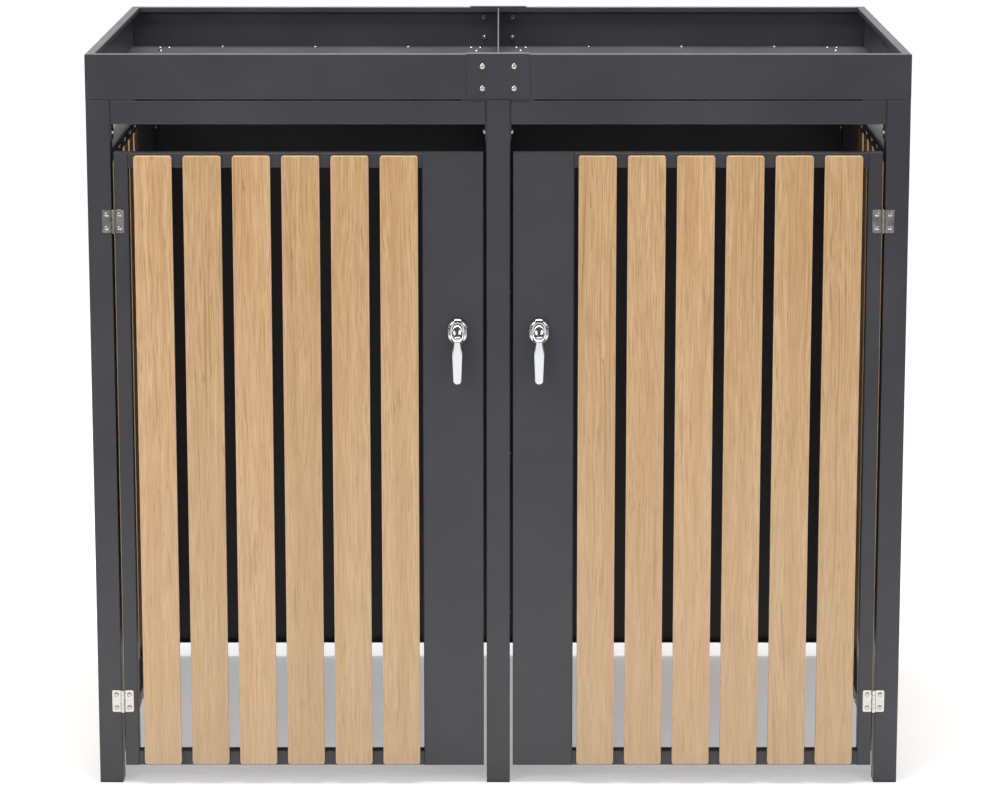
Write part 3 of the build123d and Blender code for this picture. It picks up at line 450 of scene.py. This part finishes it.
colour = add_node(oak_board, "Mix", {
    "Factor": line_part, colour_a: colour, colour_b: linear("#9c7246"),
}, data_type="RGBA")[colour_out]
pore_part = add_node(oak_board, "Math", {0: pore, 1: 0.5}, operation="MULTIPLY")["Value"]
colour = add_node(oak_board, "Mix", {
    "Factor": pore_part, colour_a: colour, colour_b: linear("#8a6238"),
}, data_type="RGBA")[colour_out]
# Painted bounce light from the floor: the lower part is painted a little paler and greyer
height = add_node(oak_board, "SeparateXYZ", {"Vector": place})["Z"]
painted_bounce_light = add_node(oak_board, "MapRange", {
    "Value": height, "From Min": 0.05, "From Max": 0.95, "To Min": 0.45, "To Max": 0.0})["Result"]
colour = add_node(oak_board, "Mix", {
    "Factor": painted_bounce_light, colour_a: colour, colour_b: linear("#d8c0a2"),
}, data_type="RGBA")[colour_out]
# The eased edges are painted paler than the face: a painted highlight
edge = add_node(oak_board, "Attribute", attribute_name="painted_edge_highlight")["Fac"]
edge_highlight_part = add_node(oak_board, "Math", {0: edge, 1: 0.45}, operation="MULTIPLY")["Value"]
colour = add_node(oak_board, "Mix", {
    "Factor": edge_highlight_part, colour_a: colour, colour_b: linear("#e6cba8"),
}, data_type="RGBA")[colour_out]
# Each board's own tone runs from darker and yellower to lighter and redder
lot = add_node(oak_board, "TexWhiteNoise", {"W": board}, noise_dimensions="1D")["Value"]
strength = add_node(oak_board, "MapRange", {
    "Value": lot, "To Min": 0.95, "To Max": 1.04})["Result"]
warmth = add_node(oak_board, "MapRange", {
    "Value": lot, "To Min": 0.5015, "To Max": 0.4985})["Result"]
colour = add_node(oak_board, "HueSaturation", {
    "Color": colour, "Value": strength, "Hue": warmth})["Color"]
gloss = add_node(oak_board, "MapRange", {"Value": fine, "To Min": 0.48, "To Max": 0.66})["Result"]
embossed = add_node(oak_board, "Bump", {
    "Height": fine, "Strength": 0.25, "Distance": 0.0003})["Normal"]
relief = add_node(oak_board, "Bump", {
    "Height": pore, "Strength": 0.4, "Distance": 0.0003, "Normal": embossed}, invert=True)["Normal"]
shader = add_node(oak_board, "BsdfPrincipled", {
    "Base Color": colour, "Roughness": gloss, "IOR": 1.48, "Normal": relief})["BSDF"]
add_node(oak_board, "OutputMaterial", {"Surface": shader})

board_width = 63.5
board_thickness = 10.0
board_length = 1061.0
board_corner = 4.5
board_front_edge = 1.5
board_back_edge = 0.4


def runs_along(axis):
    """A test for edges that run along an axis for more than 1 mm."""
    return lambda edge: abs(edge.verts[0].co[axis] - edge.verts[1].co[axis]) > 1


def oak_plank():
    """One board about the origin, its face towards the viewer."""
    bpy.ops.mesh.primitive_cube_add(size=1, scale=(board_width, board_thickness, board_length))
    bpy.ops.object.transform_apply(scale=True)
    plank = bpy.context.object
    back = board_thickness / 2
    bpy.ops.object.mode_set(mode="EDIT")
    pick("edges", runs_along(1))
    bpy.ops.mesh.bevel(offset=board_corner, segments=5)
    pick("edges", flat_at(1, -back))
    bpy.ops.mesh.bevel(offset=board_front_edge, segments=3)
    pick("edges", flat_at(1, back))
    bpy.ops.mesh.bevel(offset=board_back_edge, segments=1)
    bpy.ops.object.mode_set(mode="OBJECT")
    # Marks the eased edges, where the board material paints its highlight
    eased = plank.data.attributes.new("painted_edge_highlight", "FLOAT", "POINT")
    for vert in plank.data.vertices:
        eased.data[vert.index].value = 1.0 if abs(vert.co.y) < back - near else 0.0
    return plank


def board_centres(node):
    """The middle of each board in a CAD node, in millimetres."""
    centres = []
    for part in loose_parts(node):
        centres.append([
            (min(corner[axis] for corner in part) + max(corner[axis] for corner in part)) / 2
            for axis in range(3)
        ])
    return sorted(centres)


first_number = 1
for word, quarter_turn in (("left", -math.pi / 2), ("right", math.pi / 2)):
    turn = Matrix.Rotation(quarter_turn, 4, "Z")
    places = [Matrix.Translation(centre) @ turn for centre in board_centres(word + "_side_slats")]
    boards = set_out(word + "_side_boards", oak_plank(), places, first_number)
    settle(boards, oak_board, "wood_look_board", "frame", word + "_side_slats")
    first_number += len(places)


# Wall screws
# Pan-head sheet screws of stainless steel with a cross recess. Short ones hold the rear panels
# to the posts, and long ones go through the side rails into the boards.

recess_share = 0.22


def pan_screw(head_radius, head_height, shank_radius, shank_length, sides=16, rings=2):
    """A pan-head screw with a cross recess."""
    head = domed_disc(head_radius, head_height, sides, rings)
    for turn in (math.pi / 4, -math.pi / 4):
        bpy.ops.mesh.primitive_cube_add(
            size=1, location=(0, 0, head_height), rotation=(0, 0, turn),
            scale=(head_radius, head_radius * recess_share, head_height))
        cut_away(head, bpy.context.object)
    return join(head, shank(shank_radius, shank_length))


sheet_screw = {"head_radius": 4.0, "head_height": 2.5, "shank_radius": 2.1, "shank_length": 9.0}
board_screw = dict(sheet_screw, shank_length=32.0)
fit_fasteners("panel_pan_screws", pan_screw, sheet_screw, "frame", "wall_screws")
fit_fasteners("side_pan_screws", pan_screw, board_screw, "frame", "wall_screws")


# Planter roof
# Six walls of 1.2 mm steel sheet with a folded rim and base flange, mitred at the corners, two
# drained floors and a divider. Joint plates cover the middle seam. All are powder coated.
dress(
    powder_coat, "left_planter_front_wall", "right_planter_front_wall", "left_planter_rear_wall",
    "right_planter_rear_wall", "left_planter_side_wall", "right_planter_side_wall",
    "left_planter_floor", "right_planter_floor", "planter_divider", "front_joint_plate",
    "rear_joint_plate",
)


# Planter screws
# The same short pan-head screws of stainless steel, driven down through the floors and base
# flanges into the gussets and headers. Their heads show, so they are modelled rounder.
rounder_screw = dict(sheet_screw, sides=28, rings=4)
fit_fasteners("planter_pan_screws", pan_screw, rounder_screw, "frame", "planter_screws")


# Joint plate bolts and nuts
# M5 button-head bolts of stainless steel, four through each joint plate and the wall behind
# it, with plain hexagon nuts inside the planter.
m5_bolt = {"head_radius": 4.7, "head_height": 2.8, "shank_radius": 2.5, "shank_length": 9.2}
fit_fasteners("joint_button_bolts", button_bolt, m5_bolt, "frame", "joint_bolts")
dress(stainless, "joint_nuts")


# Door frames
# Two stiles and two rails of 25 mm deep steel tube, welded flush into a frame and powder
# coated. The wide stile carries the handle.
for word in ("left", "right"):
    dress(
        powder_coat, word + "_door_hinge_stile", word + "_door_lock_stile",
        word + "_door_bottom_rail", word + "_door_top_rail",
    )


# Door boards
# Six of the same light oak wood-plastic boards on the front of each door frame. Long pan-head
# screws come through the rails from behind and hold them.
for word in ("left", "right"):
    places = [Matrix.Translation(centre) for centre in board_centres(word + "_door_slats")]
    boards = set_out(word + "_door_boards", oak_plank(), places, first_number)
    settle(boards, oak_board, "wood_look_board", word + "_door", word + "_door_slats")
    first_number += len(places)
    fit_fasteners(
        word + "_door_pan_screws", pan_screw, board_screw, word + "_door", word + "_door_screws")


# Butt hinges
# Two hinges on each door, of polished stainless steel. Strip is stamped to a leaf with rounded
# corners, its tongues are rolled into interleaved knuckles, and a riveted pin joins the leaves.
leaf_reach = 18.5
leaf_length = 39.0
leaf_thickness = 1.5
leaf_corner = 3.0
leaf_edge = 0.3
knuckle_radius = 3.4
knuckle_gap = 0.4
knuckle_count = 5
roll_angle = math.radians(318)
roll_steps = 22
hinge_screw_reach = 10.95
hinge_screw_rise = 11.5
dimple_mouth_radius = 4.3
dimple_floor_radius = 2.4
dimple_depth = 0.95
dimple_overlap = 0.05
pin_proud = 0.8
pin_clearance = 0.05
pin_rounding = 0.7
leaf_face = knuckle_radius - leaf_thickness
leaf_middle = knuckle_radius - leaf_thickness / 2
knuckle_pitch = leaf_length / knuckle_count


def hinge_leaf(first_knuckle):
    """A leaf to the right of the pin's axis, with every second knuckle from the first one given."""
    start = knuckle_radius + knuckle_gap
    bpy.ops.mesh.primitive_cube_add(
        size=1, location=((start + leaf_reach) / 2, leaf_middle, 0),
        scale=(leaf_reach - start, leaf_thickness, leaf_length))
    leaf = bpy.context.object
    bpy.ops.object.transform_apply(location=True, scale=True)
    bpy.ops.object.mode_set(mode="EDIT")
    pick("edges", lambda edge: flat_at(0, leaf_reach)(edge) and runs_along(1)(edge))
    bpy.ops.mesh.bevel(offset=leaf_corner, segments=6)
    pick("edges", flat_at(1, leaf_face))
    bpy.ops.mesh.bevel(offset=leaf_edge, segments=2)
    bpy.ops.object.mode_set(mode="OBJECT")
    for rise in (-hinge_screw_rise, hinge_screw_rise):
        bpy.ops.mesh.primitive_cone_add(
            vertices=28, radius1=dimple_mouth_radius, radius2=dimple_floor_radius,
            depth=dimple_depth + dimple_overlap, rotation=(-math.pi / 2, 0, 0),
            location=(hinge_screw_reach, leaf_face + (dimple_depth - dimple_overlap) / 2, rise))
        cut_away(leaf, bpy.context.object)
    bpy.ops.object.mode_set(mode="EDIT")
    pick("faces", flat_at(1, leaf_face))
    bpy.ops.mesh.region_to_loop()
    bpy.ops.mesh.mark_sharp()
    bpy.ops.object.mode_set(mode="OBJECT")
    knuckles = []
    for index in range(first_knuckle, knuckle_count, 2):
        rise = (index - (knuckle_count - 1) / 2) * knuckle_pitch
        bpy.ops.mesh.primitive_cube_add(
            size=1, location=(start / 2, leaf_middle, rise),
            scale=(start, leaf_thickness, knuckle_pitch - knuckle_gap))
        bpy.ops.object.transform_apply(location=True, scale=True)
        bpy.ops.object.mode_set(mode="EDIT")
        pick("faces", flat_at(0, 0))
        bpy.ops.mesh.spin(
            steps=roll_steps, angle=-roll_angle, center=(0, 0, 0), axis=(0, 0, 1))
        bpy.ops.mesh.select_all(action="SELECT")
        bpy.ops.mesh.remove_doubles(threshold=0.001)
        bpy.ops.mesh.normals_make_consistent(inside=False)
        bpy.ops.object.mode_set(mode="OBJECT")
        knuckles.append(bpy.context.object)
    return join(leaf, *knuckles)


def hinge_pin():
    """A riveted pin, a little longer than the leaves."""
    length = leaf_length + 2 * pin_proud
    bpy.ops.mesh.primitive_cylinder_add(
        vertices=24, radius=leaf_face - pin_clearance, depth=length)
    bpy.ops.object.mode_set(mode="EDIT")
    pick("edges", lambda edge: flat_at(2, -length / 2)(edge) or flat_at(2, length / 2)(edge))
    bpy.ops.mesh.bevel(offset=pin_rounding, segments=3)
    bpy.ops.object.mode_set(mode="OBJECT")
    return bpy.context.object


half_turn = Matrix.Rotation(math.pi, 4, "Y")
hinge_axes = {"left": [], "right": []}
for part in loose_parts("hinge_pins"):
    middle = sum(part, Vector()) / len(part)
    hinge_axes["left" if middle.x < 0 else "right"].append(Matrix.Translation(middle))
post_sides = [axis @ half_turn for axis in hinge_axes["left"]] + hinge_axes["right"]
door_sides = {
    "left": hinge_axes["left"],
    "right": [axis @ half_turn for axis in hinge_axes["right"]],
}

post_leaves = set_out("hinge_leaves_on_posts", hinge_leaf(0), post_sides)
settle(post_leaves, stainless, "stainless_steel", "frame", "hinge_post_leaves")
pins = set_out("hinge_riveted_pins", hinge_pin(), hinge_axes["left"] + hinge_axes["right"])
settle(pins, stainless, "stainless_steel", "frame", "hinge_pins")
hinge_screw = {
    "head_radius": 3.4, "head_height": 1.2, "shank_radius": 1.8, "shank_length": 9.0,
    "sides": 28, "rings": 4,
}
fit_fasteners("hinge_screws_in_posts", pan_screw, hinge_screw, "frame", "hinge_post_screws")
for word in ("left", "right"):
    door = word + "_door"
    door_leaves = set_out(word + "_hinge_leaves_on_door", hinge_leaf(1), door_sides[word])
    settle(door_leaves, stainless, "stainless_steel", door, door + "_hinge_leaves")
    fit_fasteners(
        word + "_hinge_screws_in_door", pan_screw, hinge_screw, door, door + "_screws")


# Lever handles
# Chromed zinc die castings: an oval domed rosette with a threaded barrel, and a lever whose
# round neck bends down to a flat tapered blade. A nut holds the barrel behind the stile, and
# the spindle's square end carries a steel cam that turns behind the middle post.

# Chrome plate on polished zinc: a bright, slightly cool mirror with faint smears from hands
chrome = start_material("chrome_plated_zinc")
place = add_node(chrome, "TexCoord")["Object"]
# Smears about 10 mm across
smear = add_node(chrome, "TexNoise", {"Vector": place, "Scale": 1 / 0.010, "Detail": 3.0})["Fac"]
colour = add_node(chrome, "Mix", {
    "Factor": smear, colour_a: linear("#c2c5c7"), colour_b: linear("#d0d3d4"),
}, data_type="RGBA")[colour_out]
gloss = add_node(chrome, "MapRange", {"Value": smear, "To Min": 0.03, "To Max": 0.12})["Result"]
shader = add_node(chrome, "BsdfPrincipled", {
    "Base Color": colour, "Metallic": 1.0, "Roughness": gloss})["BSDF"]
add_node(chrome, "OutputMaterial", {"Surface": shader})

# Reach is measured out from the stile's face, depth behind it and drop below the spindle
rosette_radius = 18.0
rosette_stretch = 9.0
rosette_height = 9.0
rosette_rounding = 7.0
barrel_radius = 8.0
barrel_root_reach = 2.0
barrel_depth = 32.5
barrel_chamfer = 0.8
neck_clearance = 0.4
neck_root_reach = rosette_height + neck_clearance
neck_radius = 9.0
neck_bend_reach = 14.0
neck_bend_length = 19.0
neck_bend_steps = 12
neck_drop = 17.0
neck_end_width = 22.0
neck_end_rounding = 0.8
blade_drop = 91.0
blade_reach = 37.0
blade_setback = 3.0
blade_root_thickness = 8.0
blade_tip_thickness = 6.5
blade_tip_rounding = 6.5
blade_edge_rounding = 3.0
blade_sharp_angle = math.radians(40)
# Drop and width along the blade, from inside the neck to the tip
blade_widths = (
    (8.5, 12.0), (20.0, 14.9), (28.0, 16.9), (34.0, 17.9), (42.0, 17.9), (blade_drop, 14.0))
spindle_radius = 6.0
spindle_chamfer = 0.4
spindle_square = 8.0
square_edge = 0.6
cam_front_depth = 41.5
cam_back_depth = 44.7
rivet_radius = 6.6
rivet_height = 2.0
rivet_rounding = 1.2


def round_bar(radius, start, end, chamfer):
    """A round bar along the spindle's axis, chamfered at its rear end."""
    bpy.ops.mesh.primitive_cylinder_add(
        vertices=40, radius=radius, depth=end - start, location=(0, (start + end) / 2, 0),
        rotation=(math.pi / 2, 0, 0))
    bpy.ops.object.transform_apply(location=True, rotation=True)
    bpy.ops.object.mode_set(mode="EDIT")
    pick("edges", flat_at(1, end))
    bpy.ops.mesh.bevel(offset=chamfer, segments=2)
    bpy.ops.object.mode_set(mode="OBJECT")
    return bpy.context.object


def oval_rosette():
    """The pad, pulled down to an oval and domed at the front, with its barrel."""
    bpy.ops.mesh.primitive_cylinder_add(
        vertices=72, radius=rosette_radius, depth=rosette_height,
        location=(0, -rosette_height / 2, 0), rotation=(math.pi / 2, 0, 0))
    bpy.ops.object.transform_apply(location=True, rotation=True)
    pad = bpy.context.object
    bpy.ops.object.mode_set(mode="EDIT")
    pick("verts", lambda vert: vert.co.z < -near)
    bpy.ops.transform.translate(value=(0, 0, -rosette_stretch))
    pick("edges", flat_at(1, -rosette_height))
    bpy.ops.mesh.bevel(offset=rosette_rounding, segments=10)
    bpy.ops.object.mode_set(mode="OBJECT")
    return join(pad, round_bar(barrel_radius, -barrel_root_reach, barrel_depth, barrel_chamfer))


def lever_neck():
    """The round neck, drawn out in front of the rosette and bent down as it widens."""
    bpy.ops.mesh.primitive_circle_add(
        vertices=48, radius=neck_radius, fill_type="NGON",
        location=(0, -neck_root_reach, 0), rotation=(math.pi / 2, 0, 0))
    bpy.ops.object.transform_apply(location=True, rotation=True)
    neck = bpy.context.object
    bpy.ops.object.mode_set(mode="EDIT")
    bpy.ops.mesh.select_all(action="SELECT")
    middle = Vector((0, -neck_root_reach, 0))
    width = 2 * neck_radius
    for step in range(neck_bend_steps + 1):
        share = step / neck_bend_steps
        bend = math.pi / 2 * share
        reach = neck_bend_reach + neck_bend_length * math.sin(bend)
        goal = Vector((0, -reach, neck_drop * (math.cos(bend) - 1)))
        wider = 2 * neck_radius + (neck_end_width - 2 * neck_radius) * share ** 2
        bpy.ops.mesh.extrude_region_move(TRANSFORM_OT_translate={"value": goal - middle})
        bpy.ops.transform.resize(value=(wider / width, 1, 1))
        if step > 0:
            bpy.ops.transform.rotate(
                value=math.pi / 2 / neck_bend_steps, orient_axis="X", center_override=goal)
        middle = goal
        width = wider
    pick("edges", flat_at(2, -neck_drop))
    bpy.ops.mesh.bevel(offset=neck_end_rounding, segments=3)
    bpy.ops.mesh.select_all(action="SELECT")
    bpy.ops.mesh.normals_make_consistent(inside=False)
    bpy.ops.object.mode_set(mode="OBJECT")
    return neck


def lever_blade():
    """The flat blade, drawn down from inside the neck, widest below it and thinner at the tip."""
    sections = []
    for drop, width in blade_widths:
        share = drop / blade_drop
        thickness = blade_root_thickness + (blade_tip_thickness - blade_root_thickness) * share
        reach = blade_reach - blade_setback * share ** 2
        sections.append((Vector((0, thickness / 2 - reach, -drop)), width, thickness))
    middle, width, thickness = sections[0]
    bpy.ops.mesh.primitive_plane_add(size=1, location=middle, rotation=(math.pi, 0, 0))
    blade = bpy.context.object
    blade.scale = (width, thickness, 1)
    bpy.ops.object.transform_apply(location=True, rotation=True, scale=True)
    bpy.ops.object.mode_set(mode="EDIT")
    bpy.ops.mesh.select_all(action="SELECT")
    for goal, wider, thicker in sections[1:]:
        bpy.ops.mesh.extrude_region_move(TRANSFORM_OT_translate={"value": goal - middle})
        bpy.ops.transform.resize(value=(wider / width, thicker / thickness, 1))
        middle, width, thickness = goal, wider, thicker
    bpy.ops.mesh.select_all(action="SELECT")
    bpy.ops.mesh.normals_make_consistent(inside=False)
    pick("edges", lambda edge: flat_at(2, -blade_drop)(edge) and runs_along(1)(edge))
    bpy.ops.mesh.bevel(offset=blade_tip_rounding, segments=8)
    pick("edges", lambda edge: edge.calc_face_angle(0) > blade_sharp_angle)
    bpy.ops.mesh.bevel(offset=blade_edge_rounding, segments=5)
    bpy.ops.object.mode_set(mode="OBJECT")
    return blade


def lever():
    """The whole lever: neck and blade in front, spindle, square and rivet behind."""
    bpy.ops.mesh.primitive_cube_add(
        size=1, location=(0, (cam_front_depth + cam_back_depth) / 2, 0),
        scale=(spindle_square, cam_back_depth - cam_front_depth, spindle_square))
    square = bpy.context.object
    bpy.ops.object.transform_apply(location=True, scale=True)
    bpy.ops.object.mode_set(mode="EDIT")
    pick("edges", runs_along(1))
    bpy.ops.mesh.bevel(offset=square_edge, segments=2)
    bpy.ops.object.mode_set(mode="OBJECT")
    spindle = round_bar(spindle_radius, -neck_bend_reach, cam_front_depth, spindle_chamfer)
    rivet = round_bar(
        rivet_radius, cam_back_depth, cam_back_depth + rivet_height, rivet_rounding)
    return join(lever_neck(), lever_blade(), spindle, square, rivet)


for joint in frame["joints"]:
    if joint["child"].endswith("_lever"):
        word = joint["child"].split("_")[0]
        axis = [Matrix.Translation(Vector(joint["pos_m"]) * mm_per_m)]
        rosette = set_out(word + "_oval_rosette", oval_rosette(), axis)
        settle(rosette, chrome, "chromed_zinc", word + "_door", word + "_handle_rosette")
        handle = set_out(word + "_cast_lever", lever(), axis)
        settle(handle, chrome, "chromed_zinc", word + "_lever", word + "_handle_lever")
        dress(stainless, word + "_handle_cam", word + "_handle_nut")


# Studio
# A pale floor and white surroundings, which only reflections see as a darker room, and three
# large soft lamps. The camera stands before the middle post, higher than the planter, and looks
# a little down.
floor_size = 60
floor_drop = 0.0005
floor_tone = 0.80
ambient_level = 0.32
room_tone = 0.12
white = (1.0, 1.0, 1.0, 1.0)

bpy.ops.mesh.primitive_plane_add(size=floor_size, location=(0, 0, -floor_drop))
floor = bpy.context.object
floor.name = "studio_floor"
floor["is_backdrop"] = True
floor_paint = start_material("studio_floor_paint")
rays = add_node(floor_paint, "LightPath")
mirrored = add_node(floor_paint, "Math", {
    0: rays["Is Glossy Ray"], 1: rays["Is Transmission Ray"]}, operation="MAXIMUM")["Value"]
# In reflections a dark carpet lies 4 to 14 m from the object, with a strip of white paper 1 m
# wide down its middle
spot = add_node(floor_paint, "TexCoord")["Object"]
distance = add_node(floor_paint, "VectorMath", {0: spot}, operation="LENGTH")["Value"]
inner = add_node(floor_paint, "MapRange", {
    "Value": distance, "From Min": 3.0, "From Max": 5.0})["Result"]
outer = add_node(floor_paint, "MapRange", {
    "Value": distance, "From Min": 18.0, "From Max": 10.5})["Result"]
carpet = add_node(floor_paint, "Math", {0: inner, 1: outer}, operation="MULTIPLY")["Value"]
across = add_node(floor_paint, "SeparateXYZ", {"Vector": spot})["X"]
across = add_node(floor_paint, "Math", {0: across}, operation="ABSOLUTE")["Value"]
beside = add_node(floor_paint, "MapRange", {
    "Value": across, "From Min": 0.3, "From Max": 0.7})["Result"]
carpet = add_node(floor_paint, "Math", {0: carpet, 1: beside}, operation="MULTIPLY")["Value"]
dark = add_node(floor_paint, "Math", {0: mirrored, 1: carpet}, operation="MULTIPLY")["Value"]
paint = add_node(floor_paint, "MapRange", {
    "Value": dark, "To Min": floor_tone, "To Max": room_tone})["Result"]
matt = add_node(floor_paint, "BsdfDiffuse", {"Color": paint})["BSDF"]
# The lamps fade away from the object, so the floor is lifted to white more there
lift = add_node(floor_paint, "MapRange", {
    "Value": distance, "From Min": 1.0, "From Max": 8.0, "To Min": 0.36, "To Max": 0.76})["Result"]
seen = add_node(floor_paint, "Math", {
    0: rays["Is Camera Ray"], 1: mirrored}, operation="MAXIMUM")["Value"]
seen = add_node(floor_paint, "Math", {0: seen, 1: dark}, operation="SUBTRACT")["Value"]
lift = add_node(floor_paint, "Math", {0: seen, 1: lift}, operation="MULTIPLY")["Value"]
glow = add_node(floor_paint, "Emission", {"Color": white, "Strength": lift})["Emission"]
both = add_node(floor_paint, "AddShader", {0: matt, 1: glow})["Shader"]
add_node(floor_paint, "OutputMaterial", {"Surface": both})
floor.data.materials.append(floor_paint)

surround = bpy.data.worlds.new("studio_surround")
bpy.context.scene.world = surround
surround.use_nodes = True
surround.node_tree.nodes.clear()
rays = add_node(surround, "LightPath")
mirrored = add_node(surround, "Math", {
    0: rays["Is Glossy Ray"], 1: rays["Is Transmission Ray"]}, operation="MAXIMUM")["Value"]
seen = add_node(surround, "Math", {
    0: rays["Is Camera Ray"], 1: mirrored}, operation="MAXIMUM")["Value"]
# In reflections the ceiling and the side that the viewer stands on are dark
direction = add_node(surround, "TexCoord")["Generated"]
parts = add_node(surround, "SeparateXYZ", {"Vector": direction})
ceiling = add_node(surround, "MapRange", {
    "Value": parts["Z"], "From Min": 0.14, "From Max": 0.45})["Result"]
room = add_node(surround, "MapRange", {
    "Value": parts["Y"], "From Min": 0.1, "From Max": -0.5})["Result"]
dark = add_node(surround, "Math", {0: ceiling, 1: room}, operation="MAXIMUM")["Value"]
dark = add_node(surround, "Math", {0: dark, 1: mirrored}, operation="MULTIPLY")["Value"]
shown = add_node(surround, "MapRange", {
    "Value": dark, "To Min": 1.0, "To Max": room_tone})["Result"]
strength = add_node(surround, "Mix", {"Factor": seen, "A": ambient_level, "B": shown})["Result"]
sky = add_node(surround, "Background", {"Color": white, "Strength": strength})["Background"]
add_node(surround, "OutputWorld", {"Surface": sky})

for name, position, aim, size, power in (
    ("key_lamp", (-2.8, -4.4, 2.9), (0, 0, 0.6), 2.4, 74),
    ("fill_lamp", (3.2, -4.2, 2.6), (0, 0, 0.6), 2.4, 46),
    ("top_lamp", (0.0, 0.0, 4.2), (0, 0, 0), 3.0, 225),
):
    bpy.ops.object.light_add(type="AREA", location=position)
    lamp = bpy.context.object
    lamp.name = name
    lamp.data.size = size
    lamp.data.energy = power
    beam = Vector(aim) - Vector(position)
    lamp.rotation_euler = beam.to_track_quat("-Z", "Y").to_euler()

camera_place = (0.003, -6.379, 1.943)
camera_pitch = math.radians(11.12)
bpy.ops.object.camera_add(location=camera_place, rotation=(math.pi / 2 - camera_pitch, 0, 0))
camera = bpy.context.object
camera.data.lens = 130
camera.data.sensor_width = 36
camera.data.shift_y = -0.05
bpy.context.scene.camera = camera
bpy.context.scene.view_settings.view_transform = "Standard"

low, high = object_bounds()
